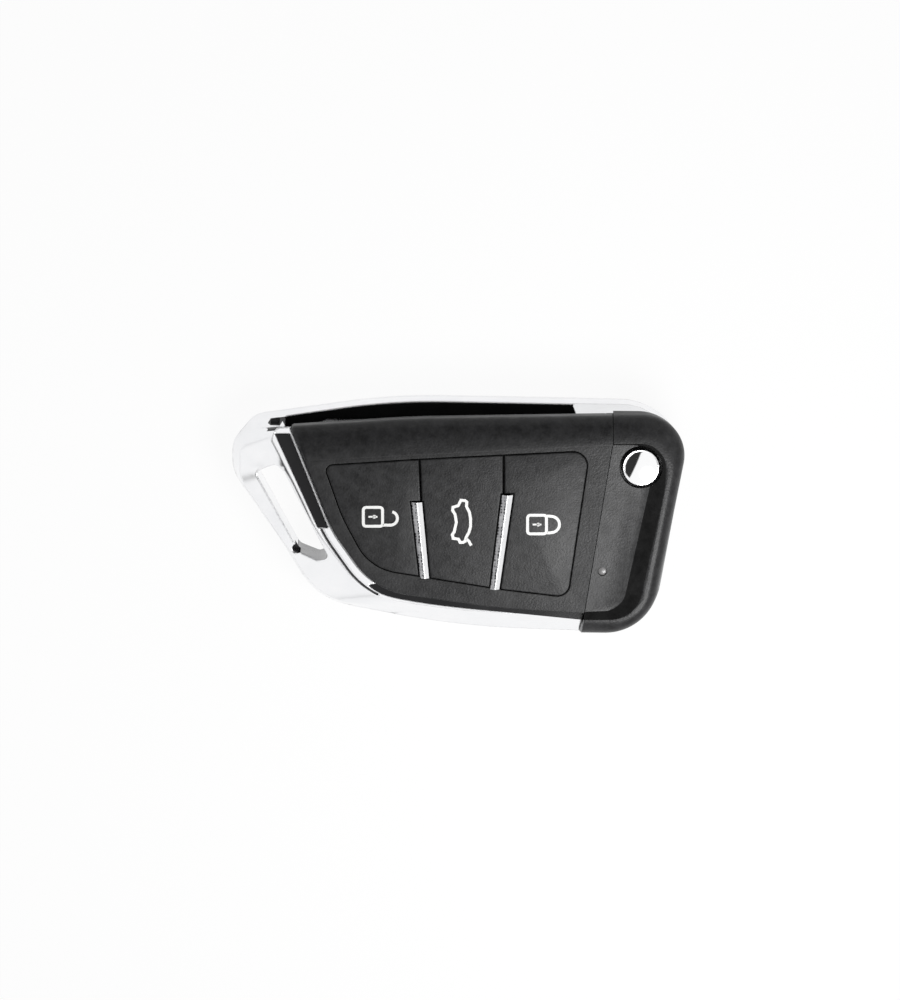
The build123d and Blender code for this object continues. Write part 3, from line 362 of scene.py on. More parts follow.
class MaterialBook:
    """The materials of the fob, each made once from its finish.

    Attributes:
        marks: Patches of the handling marks per metre.
        edge_samples: Samples of the rounded edges.
        coat_roughness: Roughness of the clear coat.
    """

    marks: float = 160.0
    edge_samples: int = 6
    coat_roughness: float = 0.05

    def __init__(self) -> None:
        """Starts with no materials."""
        self._groups = GroupBook()
        self._made: dict[str, bpy.types.Material] = {}

    def get(self, finish: Finish) -> bpy.types.Material:
        """Gives the material of a finish, building it the first time.

        Args:
            finish: The finish.

        Returns:
            The material.
        """
        if finish.name not in self._made:
            self._made[finish.name] = self._build(finish)
        return self._made[finish.name]

    def _build(self, finish: Finish) -> bpy.types.Material:
        """Builds the nodes of one finish.

        Args:
            finish: The finish.

        Returns:
            The material.
        """
        material = bpy.data.materials.new(finish.name)
        material.use_nodes = True
        nodes = Nodes(material.node_tree)
        place = nodes.add("TexCoord").outputs["Object"]

        def group(name: str, **inputs: object) -> bpy.types.NodeSocket:
            """Places a shared group in the material and gives what it puts out."""
            return nodes.add("Group", {"Place": place, **inputs}, node_tree=self._groups.get(name)).outputs[0]

        base, drift, worn = ((*colour, 1.0) for colour in (finish.colour, finish.drift, finish.worn))
        colour = group("tone_drift", Scale=finish.mottle, Base=base, Drift=drift)
        if finish.pattern is Pattern.DOTTED:
            colour = group("dot_rows", Scale=finish.grain, Base=colour, Dark=worn)
        if finish.wear > 0:
            colour = group("edge_wear", Base=colour, Worn=worn, Amount=finish.wear)
        low, high = finish.roughness
        relief_name = "brushed_lines" if finish.pattern in (Pattern.BRUSHED, Pattern.WOUND) else "moulded_grain"
        relief = {"Strength": 1.0, "Distance": finish.depth, "Height": group(relief_name, Scale=finish.grain)}
        if finish.edge > 0:
            rounding = nodes.add("Bevel", {"Radius": finish.edge}, samples=self.edge_samples)
            relief["Normal"] = rounding.outputs["Normal"]
        shader = {
            "Base Color": colour,
            "Roughness": group("handling_marks", Scale=self.marks, Low=low, High=high),
            "Normal": nodes.add("Bump", relief).outputs["Normal"],
            "Metallic": finish.metallic,
            "Specular IOR Level": finish.shine,
            "Coat Weight": finish.coat,
            "Coat Roughness": self.coat_roughness,
        }
        nodes.fill(nodes.tree.nodes["Principled BSDF"], shader)
        return material


MATERIALS = MaterialBook()

COVER_BLACK = Finish(
    "cover_black", Pattern.MOULDED, (0.004, 0.004, 0.0044), (0.02, 0.02, 0.021), (0.08, 0.08, 0.08), 0.35,
    (0.31, 0.42), grain=3000.0, depth=0.00002, edge=0.00022, mottle=520.0, shine=0.27,
)
# Painted shade: a darker, duller copy of the cover's black for the wall round the pivot cover's sunk field.
RECESS_PAINTED_SHADE = Finish(
    "recess_painted_shade", Pattern.MOULDED, (0.005, 0.005, 0.005), (0.012, 0.012, 0.012), roughness=(0.45, 0.6),
    grain=3000.0, depth=0.00002, edge=0.0, mottle=520.0, shine=0.08,
)
# Painted light: a lighter, shinier copy of the cover's black for the floor of the pivot cover's sunk field.
FIELD_PAINTED_LIGHT = Finish(
    "field_painted_light", Pattern.MOULDED, (0.016, 0.016, 0.0165), (0.042, 0.042, 0.043), roughness=(0.36, 0.48),
    grain=3400.0, depth=0.000022, edge=0.0, mottle=620.0, shine=0.4,
)
# Painted shade: a darker, duller copy of the rear shell's black, so the blade slot looks deep in shadow.
SLOT_PAINTED_SHADE = Finish(
    "slot_painted_shade", Pattern.MOULDED, (0.002, 0.002, 0.002), (0.004, 0.004, 0.004), roughness=(0.5, 0.65),
    grain=3000.0, depth=0.00002, edge=0.0, mottle=420.0, shine=0.05, slot="back_black",
)
BACK_BLACK = Finish(
    "back_black", Pattern.MOULDED, (0.008, 0.008, 0.0085), (0.022, 0.022, 0.023), (0.08, 0.08, 0.08), 0.35,
    (0.38, 0.52), grain=2600.0, depth=0.00003, edge=0.0002, mottle=420.0, shine=0.36,
)
KEY_RUBBER = Finish(
    "key_rubber", Pattern.MOULDED, (0.004, 0.004, 0.0044), (0.024, 0.024, 0.025), (0.08, 0.08, 0.08), 0.25,
    (0.33, 0.44), grain=3400.0, depth=0.000022, edge=0.00012, mottle=620.0, shine=0.27,
)
MAT_RUBBER = Finish(
    "mat_rubber", Pattern.MOULDED, (0.10, 0.10, 0.11), (0.13, 0.13, 0.14), roughness=(0.6, 0.75), grain=5000.0,
    depth=0.000012, edge=0.0001,
)
# Frame inlays: black gloss strips that also paint the dark reflection of the black cover in the frame's inner bevel.
INLAY_PAINTED_REFLECTION = Finish(
    "inlay_gloss", Pattern.LACQUERED, (0.006, 0.006, 0.007), (0.010, 0.010, 0.011), roughness=(0.16, 0.26),
    grain=2500.0, depth=0.000003, edge=0.0001, shine=0.22,
)
BRIGHT_TRIM = Finish(
    "bright_trim", Pattern.PLATED, (0.93, 0.93, 0.94), (0.88, 0.885, 0.9), (0.97, 0.97, 0.97), 0.3,
    (0.12, 0.2), metallic=1.0, grain=900.0, depth=0.0000012, edge=0.0005,
)
# Painted shade: a dark finish for the frame's round pocket, thin groove, inlay seats and the pit at the slot's end.
GROOVE_PAINTED_SHADE = Finish(
    "groove_painted_shade", Pattern.LACQUERED, (0.03, 0.03, 0.032), (0.05, 0.05, 0.052), roughness=(0.3, 0.45),
    grain=2500.0, depth=0.000004, edge=0.0, shine=0.3,
)
# Painted shade: a dark copy of the bright trim for the wall at the foot of the keyring opening.
SHADED_TRIM = Finish(
    "shaded_trim", Pattern.PLATED, (0.09, 0.09, 0.095), (0.2, 0.2, 0.205), roughness=(0.2, 0.3), metallic=1.0,
    grain=900.0, depth=0.000002, edge=0.0003,
)
BUTTON_METAL = Finish(
    "button_metal", Pattern.PLATED, (0.97, 0.97, 0.975), (0.95, 0.95, 0.955), roughness=(0.05, 0.09), metallic=1.0,
    grain=900.0, depth=0.0000006, edge=0.0002,
)
BAR_METAL = Finish(
    "bar_metal", Pattern.PLATED, (0.85, 0.85, 0.86), (0.78, 0.78, 0.79), roughness=(0.12, 0.2), metallic=1.0,
    grain=1500.0, depth=0.0000015, edge=0.00008,
)
BAR_DOTTED = Finish(
    "bar_dotted", Pattern.DOTTED, (0.52, 0.52, 0.53), (0.34, 0.34, 0.35), (0.03, 0.03, 0.032),
    roughness=(0.32, 0.45), metallic=1.0, grain=1900.0, depth=0.000004, edge=0.00005, mottle=900.0,
)
HEAD_METAL = Finish(
    "head_metal", Pattern.PLATED, (0.84, 0.845, 0.855), (0.8, 0.805, 0.815), roughness=(0.12, 0.2), metallic=1.0,
    grain=900.0, depth=0.000001, edge=0.00025,
)
BLADE_STEEL = Finish(
    "blade_steel", Pattern.BRUSHED, (0.62, 0.62, 0.63), (0.55, 0.55, 0.57), (0.8, 0.8, 0.8), 0.6, (0.22, 0.34),
    metallic=1.0, grain=9000.0, depth=0.000004, edge=0.00012,
)
SPRING_STEEL = Finish(
    "spring_steel", Pattern.BRUSHED, (0.42, 0.42, 0.43), (0.35, 0.35, 0.37), roughness=(0.22, 0.35), metallic=1.0,
    grain=9000.0, depth=0.000003, edge=0.00005,
)
WINDOW_DARK = Finish(
    "window_dark", Pattern.LACQUERED, (0.17, 0.168, 0.168), (0.24, 0.235, 0.235), roughness=(0.25, 0.35),
    grain=2500.0, depth=0.000002, edge=0.00008, coat=0.4,
)
BOARD_GREEN = Finish(
    "board_green", Pattern.LACQUERED, (0.010, 0.085, 0.030), (0.014, 0.11, 0.042), (0.3, 0.25, 0.12), 0.6,
    (0.22, 0.35), grain=2600.0, depth=0.000006, edge=0.00008, coat=0.3,
)
SWITCH_METAL = Finish(
    "switch_metal", Pattern.BRUSHED, (0.6, 0.6, 0.61), (0.52, 0.52, 0.53), roughness=(0.25, 0.38), metallic=1.0,
    grain=7000.0, depth=0.000003, edge=0.00012,
)
CHIP_BLACK = Finish(
    "chip_black", Pattern.MOULDED, (0.02, 0.02, 0.021), (0.028, 0.028, 0.03), roughness=(0.5, 0.62), grain=6000.0,
    depth=0.000008, edge=0.0001,
)
CERAMIC_TAN = Finish(
    "ceramic_tan", Pattern.MOULDED, (0.32, 0.2, 0.1), (0.26, 0.16, 0.08), roughness=(0.4, 0.5), grain=9000.0,
    depth=0.000004, edge=0.00004, mottle=2000.0, slot="chip_black",
)
LAMP_WHITE = Finish(
    "lamp_white", Pattern.LACQUERED, (0.75, 0.74, 0.66), (0.8, 0.78, 0.7), roughness=(0.2, 0.3), grain=3000.0,
    depth=0.000002, edge=0.00006, coat=0.3,
)
CELL_STEEL = Finish(
    "cell_steel", Pattern.BRUSHED, (0.58, 0.58, 0.585), (0.53, 0.53, 0.54), roughness=(0.2, 0.3), metallic=1.0,
    grain=5000.0, depth=0.000003, edge=0.00015,
)
CONTACT_NICKEL = Finish(
    "contact_nickel", Pattern.BRUSHED, (0.62, 0.59, 0.52), (0.56, 0.53, 0.47), roughness=(0.22, 0.34), metallic=1.0,
    grain=7000.0, depth=0.000003, edge=0.0001,
)
FERRITE = Finish(
    "ferrite", Pattern.MOULDED, (0.06, 0.06, 0.065), (0.08, 0.08, 0.085), roughness=(0.5, 0.65), grain=8000.0,
    depth=0.00001, edge=0.0001,
)
WINDING_COPPER = Finish(
    "winding_copper", Pattern.WOUND, (0.45, 0.17, 0.07), (0.55, 0.23, 0.1), roughness=(0.25, 0.4), metallic=1.0,
    grain=4000.0, depth=0.00004, edge=0.0001,
)
SCREW_STEEL = Finish(
    "screw_steel", Pattern.BRUSHED, (0.25, 0.25, 0.26), (0.2, 0.2, 0.21), (0.5, 0.5, 0.5), 0.5, (0.28, 0.4),
    metallic=1.0, grain=7000.0, depth=0.000004, edge=0.0001,
)
ICON_WHITE = Finish(
    "icon_white", Pattern.PRINTED, (0.90, 0.90, 0.89), (0.80, 0.80, 0.79), roughness=(0.4, 0.55), grain=9000.0,
    depth=0.000004, edge=0.00003, slot="key_rubber",
)


class Bench:
    """Operations by hand on one object at a time."""

    @staticmethod
    def clear() -> None:
        """Deselects everything."""
        if bpy.context.object and bpy.context.object.mode != "OBJECT":
            bpy.ops.object.mode_set(mode="OBJECT")
        bpy.ops.object.select_all(action="DESELECT")

    @staticmethod
    def take(piece: bpy.types.Object) -> None:
        """Selects one piece alone and makes it active.

        Args:
            piece: The piece.
        """
        Bench.clear()
        piece.select_set(True)
        bpy.context.view_layer.objects.active = piece

    @staticmethod
    @contextmanager
    def editing(piece: bpy.types.Object) -> Iterator[bpy.types.Object]:
        """Edit mode on one piece.

        Args:
            piece: The piece.

        Yields:
            The piece.
        """
        Bench.take(piece)
        bpy.ops.object.mode_set(mode="EDIT")
        yield piece
        bpy.ops.object.mode_set(mode="OBJECT")

    @staticmethod
    def pick(piece: bpy.types.Object, test: Callable[..., bool], kind: str = "FACE") -> int:
        """Selects the faces or edges that pass a test, in edit mode.

        Args:
            piece: The piece, in edit mode.
            test: Says whether a face or edge is wanted.
            kind: FACE or EDGE.

        Returns:
            How many are selected.
        """
        bpy.ops.mesh.select_mode(type=kind)
        bpy.ops.mesh.select_all(action="DESELECT")
        shape = bmesh.from_edit_mesh(piece.data)
        wanted = [part for part in (shape.faces if kind == "FACE" else shape.edges) if test(part)]
        for part in wanted:
            part.select_set(True)
        bmesh.update_edit_mesh(piece.data)
        return len(wanted)

    @staticmethod
    def outline(points: Sequence[tuple[float, float, float]], fill: str = "NGON") -> bpy.types.Object:
        """Adds a circle and moves its corners to the points of an outline.

        Args:
            points: The outline's corners.
            fill: NGON for a face, NOTHING for a bare line.

        Returns:
            The part.
        """
        Bench.clear()
        bpy.ops.mesh.primitive_circle_add(vertices=len(points), radius=1.0, fill_type=fill)
        part = bpy.context.object
        for vertex, point in zip(part.data.vertices, points):
            vertex.co = point
        return part

    @staticmethod
    def face_out(part: bpy.types.Object) -> None:
        """Turns the faces of a closed part outwards."""
        with Bench.editing(part):
            bpy.ops.mesh.select_all(action="SELECT")
            bpy.ops.mesh.normals_make_consistent(inside=False)

    @staticmethod
    def modify(piece: bpy.types.Object, kind: str, values: dict[str, object]) -> None:
        """Adds a modifier and applies it.

        Args:
            piece: The piece.
            kind: The modifier's type.
            values: The modifier's settings.
        """
        Bench.take(piece)
        modifier = piece.modifiers.new(kind.lower(), kind)
        for title, value in values.items():
            setattr(modifier, title, value)
        bpy.ops.object.modifier_apply(modifier=modifier.name)

    @staticmethod
    def smooth(piece: bpy.types.Object, angle_deg: float = 30.0) -> None:
        """Shades a piece smooth up to an angle.

        Args:
            piece: The piece.
            angle_deg: Edges sharper than this stay sharp.
        """
        Bench.take(piece)
        bpy.ops.object.shade_smooth_by_angle(angle=math.radians(angle_deg))

    @staticmethod
    def settle(piece: bpy.types.Object) -> None:
        """Applies the piece's place, turn and size to its mesh.

        Args:
            piece: The piece.
        """
        Bench.take(piece)
        bpy.ops.object.transform_apply(location=True, rotation=True, scale=True)

    @staticmethod
    def merge(name: str, parts: Iterable[bpy.types.Object]) -> bpy.types.Object:
        """Joins parts into one piece.

        Args:
            name: Name of the piece.
            parts: The parts.

        Returns:
            The piece.
        """
        parts = list(parts)
        Bench.take(parts[0])
        for part in parts[1:]:
            part.select_set(True)
        if len(parts) > 1:
            bpy.ops.object.join()
        piece = bpy.context.object
        piece.name = name
        piece.data.name = name
        return piece


def dress(piece: bpy.types.Object, finish: Finish, body: Body, replaces: Sequence[str] = ()) -> bpy.types.Object:
    """Gives a piece its material and its body, and hides the CAD nodes that it stands for.

    Args:
        piece: The piece.
        finish: Its finish.
        body: The body that it rides on.
        replaces: The CAD nodes that it stands for.

    Returns:
        The piece.
    """
    piece.data.materials.clear()
    piece.data.materials.append(MATERIALS.get(finish))
    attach(piece, body.value)
    if replaces:
        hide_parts(*replaces)
    log.info("piece %s on %s, %d faces", piece.name, body.value, len(piece.data.polygons))
    return piece


def patch(piece: bpy.types.Object, finish: Finish, test: Callable[[bmesh.types.BMFace], bool]) -> None:
    """Gives some faces of a dressed piece another finish.

    Args:
        piece: The piece.
        finish: The finish.
        test: Says whether a face gets it.
    """
    piece.data.materials.append(MATERIALS.get(finish))
    with Bench.editing(piece):
        count = Bench.pick(piece, test)
        piece.active_material_index = len(piece.data.materials) - 1
        bpy.ops.object.material_slot_assign()
    log.info("finish %s on %d faces of %s", finish.name, count, piece.name)


@dataclass
class Shell:
    """A smooth-shaded copy of a CAD node.

    Attributes:
        node: The CAD node.
        finish: Its finish.
        body: The body that it rides on.
        smooth_deg: Edges sharper than this stay sharp.
        weld: Distance within which corners are one, in metres.
        flat_deg: Faces that differ by less than this become one.
    """

    node: str
    finish: Finish
    body: Body = Body.CASE
    smooth_deg: float = 30.0
    weld: float = 0.0000015
    flat_deg: float = 0.3

    def build(self) -> bpy.types.Object:
        """Copies the node and merges its triangles.

        Returns:
            The piece.
        """
        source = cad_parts[self.node]
        piece = bpy.data.objects.new(f"{self.node}_skin", source.data.copy())
        bpy.context.scene.collection.objects.link(piece)
        with Bench.editing(piece):
            bpy.ops.mesh.select_all(action="SELECT")
            bpy.ops.mesh.customdata_custom_splitnormals_clear()
            bpy.ops.mesh.remove_doubles(threshold=self.weld)
            bpy.ops.mesh.dissolve_limited(angle_limit=math.radians(self.flat_deg))
        Bench.smooth(piece, self.smooth_deg)
        return dress(piece, self.finish, self.body, (self.node,))


@dataclass
class Covers:
    """The black shells and the bright frame between them, with places and sizes in millimetres.

    Attributes:
        frame_top: Height of the frame's upper face.
        frame_smooth_deg: Edges of the frame sharper than this stay sharp.
        opening: Lowest and highest plan place of the keyring opening.
        edge_leans: Least that the flat face at the opening's edge faces up, and most that the wall does.
        edge_ease: Width of the eased edge.
        foot: Lowest and highest plan place of the opening's foot.
        foot_lean: Most that the foot's wall faces up, and least that it faces across the fob.
        pocket: Middle of the small round pocket at the foot, in plan.
        pocket_reach: Distance from its middle to its wall.
        pocket_drop: How far under the frame's upper face its faces lie at least.
        groove_drops: How far under the frame's upper face the groove's and the inlay seats' faces lie.
        groove_end: Place along the fob where they end.
        groove_lean: Most that their walls face up, and least that their floors do.
        pit: Middle of the small pit at the slot's end, in plan.
        pit_reach: Distance from its middle to its farthest corner.
        pit_drops: How far under the frame's upper face the pit starts and ends.
        field_middle: Middle of the pivot cover's sunk field, in plan.
        wall_heights: Heights between which the wall round the sunk field lies.
        wall_leans: Least and most that this wall faces up.
        wall_inward: Least that it faces the field's middle.
        field_heights: Heights under and over the field's floor.
        field_lean: Least that the floor faces up.
    """

    frame_top: float = 12.4
    frame_smooth_deg: float = 28.0
    opening: tuple[tuple[float, float], tuple[float, float]] = ((-35.6, -7.6), (-21.6, 10.8))
    edge_leans: tuple[float, float] = (0.5, 0.1)
    edge_ease: float = 0.28
    foot: tuple[tuple[float, float], tuple[float, float]] = ((-27.6, -7.6), (-21.6, -4.2))
    foot_lean: tuple[float, float] = (0.2, 0.2)
    pocket: tuple[float, float] = (-27.768, -5.108)
    pocket_reach: float = 0.867
    pocket_drop: float = 0.5
    groove_drops: tuple[float, float] = (0.02, 0.85)
    groove_end: float = 24.0
    groove_lean: tuple[float, float] = (0.3, 0.99)
    pit: tuple[float, float] = (-31.4, 17.9)
    pit_reach: float = 2.7
    pit_drops: tuple[float, float] = (0.05, 6.5)
    field_middle: tuple[float, float] = (28.0, 0.0)
    wall_heights: tuple[float, float] = (14.0, 15.48)
    wall_leans: tuple[float, float] = (0.1, 0.97)
    wall_inward: float = 0.2
    field_heights: tuple[float, float] = (13.2, 14.75)
    field_lean: float = 0.985

    def _ease_opening(self, piece: bpy.types.Object) -> None:
        """Eases the edge round the keyring opening.

        Args:
            piece: The frame.
        """
        low, high = (plan(*corner) for corner in self.opening)

        def on_edge(edge: bmesh.types.BMEdge) -> bool:
            """Says whether an edge lies between a flat face and a wall of the opening."""
            spot = (edge.verts[0].co + edge.verts[1].co) / 2 / MM
            if len(edge.link_faces) != 2 or not (low.x < spot.x < high.x and low.y < spot.y < high.y):
                return False
            wall, flat = sorted(abs(face.normal.z) for face in edge.link_faces)
            return flat > self.edge_leans[0] and wall < self.edge_leans[1]

        with Bench.editing(piece):
            Bench.pick(piece, on_edge, "EDGE")
            bpy.ops.mesh.bevel(offset=self.edge_ease * MM, segments=3, clamp_overlap=True)
        Bench.smooth(piece, self.frame_smooth_deg)

    def _frame(self) -> None:
        """The bright frame, with its opening's edge eased, painted shade on its groove, pocket and pit, and a
        painted-shade copy of the trim on the wall at the opening's foot.
        """
        piece = Shell("chrome_frame", BRIGHT_TRIM, smooth_deg=self.frame_smooth_deg).build()
        self._ease_opening(piece)
        pocket, pit = plan(*self.pocket).xy, plan(*self.pit).xy
        foot_low, foot_high = (plan(*corner) for corner in self.foot)

        def in_pocket(face: bmesh.types.BMFace) -> bool:
            """Says whether a face belongs to the round pocket."""
            centre = middle_of(face)
            return (centre.xy - pocket).length < self.pocket_reach and centre.z < self.frame_top - self.pocket_drop

        def in_groove(face: bmesh.types.BMFace) -> bool:
            """Says whether a face belongs to the thin groove or the inlay's seat."""
            centre = middle_of(face)
            least, most = self.groove_drops
            wall, floor = self.groove_lean
            deep = self.frame_top - most < centre.z < self.frame_top - least
            return deep and centre.x < self.groove_end and (abs(face.normal.z) < wall or face.normal.z > floor)

        def in_pit(face: bmesh.types.BMFace) -> bool:
            """Says whether a face belongs to the small pit at the slot's end."""
            least, most = self.pit_drops
            places = [vertex.co / MM for vertex in face.verts]
            near = all((spot.xy - pit).length < self.pit_reach for spot in places)
            heights = [spot.z for spot in places]
            return near and min(heights) > self.frame_top - most and min(heights) < self.frame_top - least

        def in_foot(face: bmesh.types.BMFace) -> bool:
            """Says whether a face is part of the wall at the foot of the keyring opening."""
            centre = middle_of(face)
            up, across = self.foot_lean
            near = foot_low.x < centre.x < foot_high.x and foot_low.y < centre.y < foot_high.y
            return near and abs(face.normal.z) < up and face.normal.y > across

        # Painted shade in the pocket, the groove, the inlay seats and the pit.
        patch(piece, GROOVE_PAINTED_SHADE, lambda face: in_pocket(face) or in_groove(face) or in_pit(face))
        # Painted shade on the wall at the foot of the keyring opening.
        patch(piece, SHADED_TRIM, in_foot)

    def _pivot_cover(self) -> None:
        """The pivot cover, with painted shade on the wall round its sunk field and painted light on the field's floor.
        """
        piece = Shell("pivot_cover", COVER_BLACK).build()
        middle = plan(*self.field_middle)

        def in_wall(face: bmesh.types.BMFace) -> bool:
            """Says whether a face is part of the sloping wall that looks into the sunk field."""
            centre = middle_of(face)
            inward = (middle - centre).to_2d().normalized()
            low, high = self.wall_heights
            least, most = self.wall_leans
            sloping = low < centre.z < high and least < face.normal.z < most
            return sloping and face.normal.xy.normalized().dot(inward) > self.wall_inward

        def in_field(face: bmesh.types.BMFace) -> bool:
            """Says whether a face is part of the sunk field's floor."""
            low, high = self.field_heights
            return low < middle_of(face).z < high and face.normal.z > self.field_lean

        # Painted shade on the sloping wall round the sunk field.
        patch(piece, RECESS_PAINTED_SHADE, in_wall)
        # Painted light on the floor of the sunk field.
        patch(piece, FIELD_PAINTED_LIGHT, in_field)

    def build(self) -> None:
        """Builds the skins of the shells."""
        self._frame()
        self._pivot_cover()
        for node, finish in (
            ("front_cover", COVER_BLACK),
            ("rear_cover", BACK_BLACK),
            ("pivot_rear_cover", BACK_BLACK),
            # Painted shade in the blade slot.
            ("blade_tray", SLOT_PAINTED_SHADE),
            # Black gloss inlays, which also paint a dark reflection along the frame's left and bottom.
            ("frame_inlay_left", INLAY_PAINTED_REFLECTION),
            ("frame_inlay_bottom", INLAY_PAINTED_REFLECTION),
        ):
            Shell(node, finish).build()


@dataclass
class KeyPanel:
    """The three keys with their pictograms, the two bright bars and the mat under them, in millimetres.

    Attributes:
        stroke: Width of the pictograms' lines.
        print_height: Thickness of the print.
        sink: How deep the print lies in the key.
        corner: Radius of a padlock's corners.
        hole: Ends of the keyhole's line and middle of its knob, as shares of the padlock's width.
        hole_stroke: Width of the keyhole's line.
        knob: Radius of the knob's ring.
        knob_stroke: Width of that ring.
        dots_lean: Most that the dotted slope of a bar faces along the fob, and least that it faces up.
    """

    stroke: float = 0.5
    print_height: float = 0.04
    sink: float = 0.015
    corner: float = 0.7
    hole: tuple[float, float, float] = (0.3, 0.7, 0.56)
    hole_stroke: float = 0.32
    knob: float = 0.2
    knob_stroke: float = 0.26
    dots_lean: tuple[float, float] = (-0.25, 0.2)

    def _face_matrix(self) -> Matrix:
        """The place and slope of the keys' top face.

        Returns:
            The matrix from plan millimetres to metres in the frame.
        """
        slope = Euler((0.0, math.radians(FACE_SLOPE_DEG), 0.0)).to_matrix().to_4x4()
        place = Matrix.Translation((PLAN_SHIFT + Vector((0, 0, FACE_HEIGHT - self.sink))) * MM)
        return place @ slope @ Matrix.Scale(MM, 4)

    def _sheet(self, points: Sequence[tuple[float, float]]) -> bpy.types.Object:
        """A flat closed outline on the keys' top face.

        Args:
            points: Corners in plan millimetres.

        Returns:
            The flat part, one face.
        """
        part = Bench.outline([(x, y, 0.0) for x, y in points])
        Bench.face_out(part)
        if part.data.polygons[0].normal.z < 0:
            with Bench.editing(part):
                bpy.ops.mesh.select_all(action="SELECT")
                bpy.ops.mesh.flip_normals()
        return part

    def _thicken(self, part: bpy.types.Object) -> bpy.types.Object:
        """Gives a flat part the thickness of the print and puts it on the key.

        Args:
            part: The flat part.

        Returns:
            The part.
        """
        Bench.modify(part, "SOLIDIFY", {"thickness": self.print_height, "offset": 1.0})
        part.matrix_world = self._face_matrix()
        Bench.settle(part)
        return part

    def _ring(self, points: Sequence[tuple[float, float]], round_by: float = 0.0) -> bpy.types.Object:
        """A line of the print that runs round a closed outline.

        Args:
            points: Corners of the line's outer side in plan millimetres.
            round_by: Radius of the corners, in millimetres.

        Returns:
            The part.
        """
        part = self._sheet(points)
        with Bench.editing(part):
            bpy.ops.mesh.select_all(action="SELECT")
            if round_by > 0:
                bpy.ops.mesh.bevel(offset=round_by, segments=4, affect="VERTICES")
            bpy.ops.mesh.select_mode(type="FACE")
            bpy.ops.mesh.select_all(action="SELECT")
            bpy.ops.mesh.inset(thickness=self.stroke)
            bpy.ops.mesh.delete(type="FACE")
        return self._thicken(part)

    def _stroke(self, points: Sequence[tuple[float, float]], width: float) -> bpy.types.Object:
        """A line of the print along an open path.

        Args:
            points: The middle of the line, in plan millimetres.
            width: Its width.

        Returns:
            The part.
        """
        left: list[tuple[float, float]] = []
        right: list[tuple[float, float]] = []
        for index, (x, y) in enumerate(points):
            before = Vector(points[max(index - 1, 0)])
            after = Vector(points[min(index + 1, len(points) - 1)])
            side = (after - before).normalized().orthogonal() * width / 2
            left.append((x + side.x, y + side.y))
            right.append((x - side.x, y - side.y))
        return self._thicken(self._sheet(left + right[::-1]))

    @staticmethod
    def _arc(x: float, y: float, radius: float, start: float, end: float, steps: int = 14) -> list[tuple[float, float]]:
        """Points along an arc.

        Args:
            x: Middle along the length.
            y: Middle across the width.
            radius: Radius.
            start: First angle in degrees.
            end: Last angle in degrees.
            steps: How many runs.

        Returns:
            The points.
        """
        turns = [math.radians(start + (end - start) * step / steps) for step in range(steps + 1)]
        return [(x + radius * math.cos(turn), y + radius * math.sin(turn)) for turn in turns]

    def _padlock(self, left: float, low: float, size: float) -> list[bpy.types.Object]:
        """The body of a padlock with its keyhole, on its side.

        Args:
            left: Its left side in plan millimetres.
            low: Its lower side.
            size: Its width.

        Returns:
            The parts.
        """
        right, high = left + size, low + size
        middle = (low + high) / 2
        start, end, knob = (left + size * share for share in self.hole)
        return [
            self._ring([(left, low), (right, low), (right, high), (left, high)], self.corner),
            self._stroke([(start, middle), (end, middle)], self.hole_stroke),
            self._stroke(self._arc(knob, middle, self.knob, 0, 350), self.knob_stroke),
        ]

    def _icons(self) -> list[bpy.types.Object]:
        """An open padlock, a car with its boot lid raised and a closed padlock, each on its side.

        Returns:
            The pieces.
        """
        hook = [(-12.9, 0.12), (-11.75, 0.12), *self._arc(-11.6, 1.3, 1.18, -90, 75)]
        shackle = [(15.3, -1.32), (15.7, -1.32), *self._arc(16.0, 0.15, 1.42, -88, 88), (15.7, 1.62), (15.3, 1.62)]
        car = [
            (0.35, 4.69), (1.35, 4.6), (1.75, 4.2), (1.7, 3.4), (2.2, 2.4), (2.4, 1.2), (2.4, -0.2), (2.1, -1.3),
            (1.65, -2.1), (1.45, -2.9), (0.9, -3.2), (0.2, -3.2), (-0.1, -2.6), (-1.05, -2.45), (-1.25, -1.5),
            (-0.9, -1.0), (-0.55, 0.6), (-0.75, 1.9), (-1.2, 2.6), (-1.1, 3.4), (-0.15, 3.7),
        ]
        lid = [(1.4, -2.3), (1.9, -2.8), (2.25, -3.5)]
        return [
            Bench.merge(name, [*parts, self._stroke(path, self.stroke)])
            for name, parts, path in (
                ("unlock_icon", self._padlock(-16.52, -0.32, 3.8), hook),
                ("boot_icon", [self._ring(car)], lid),
                ("lock_icon", self._padlock(11.69, -1.73, 3.75), shackle),
            )
        ]

    def build(self) -> None:
        """Builds the keys, bars, mat and pictograms."""
        keys = (("unlock_key", Body.UNLOCK), ("boot_key", Body.BOOT), ("lock_key", Body.LOCK))
        for node, body in keys:
            Shell(node, KEY_RUBBER, body).build()
        along, up = self.dots_lean
        for node in ("accent_bar_left", "accent_bar_right"):
            bar = Shell(node, BAR_METAL).build()
            patch(bar, BAR_DOTTED, lambda face: face.normal.x < along and face.normal.z > up)
        Shell("key_mat", MAT_RUBBER).build()
        for icon, (_, body) in zip(self._icons(), keys):
            dress(icon, ICON_WHITE, body)


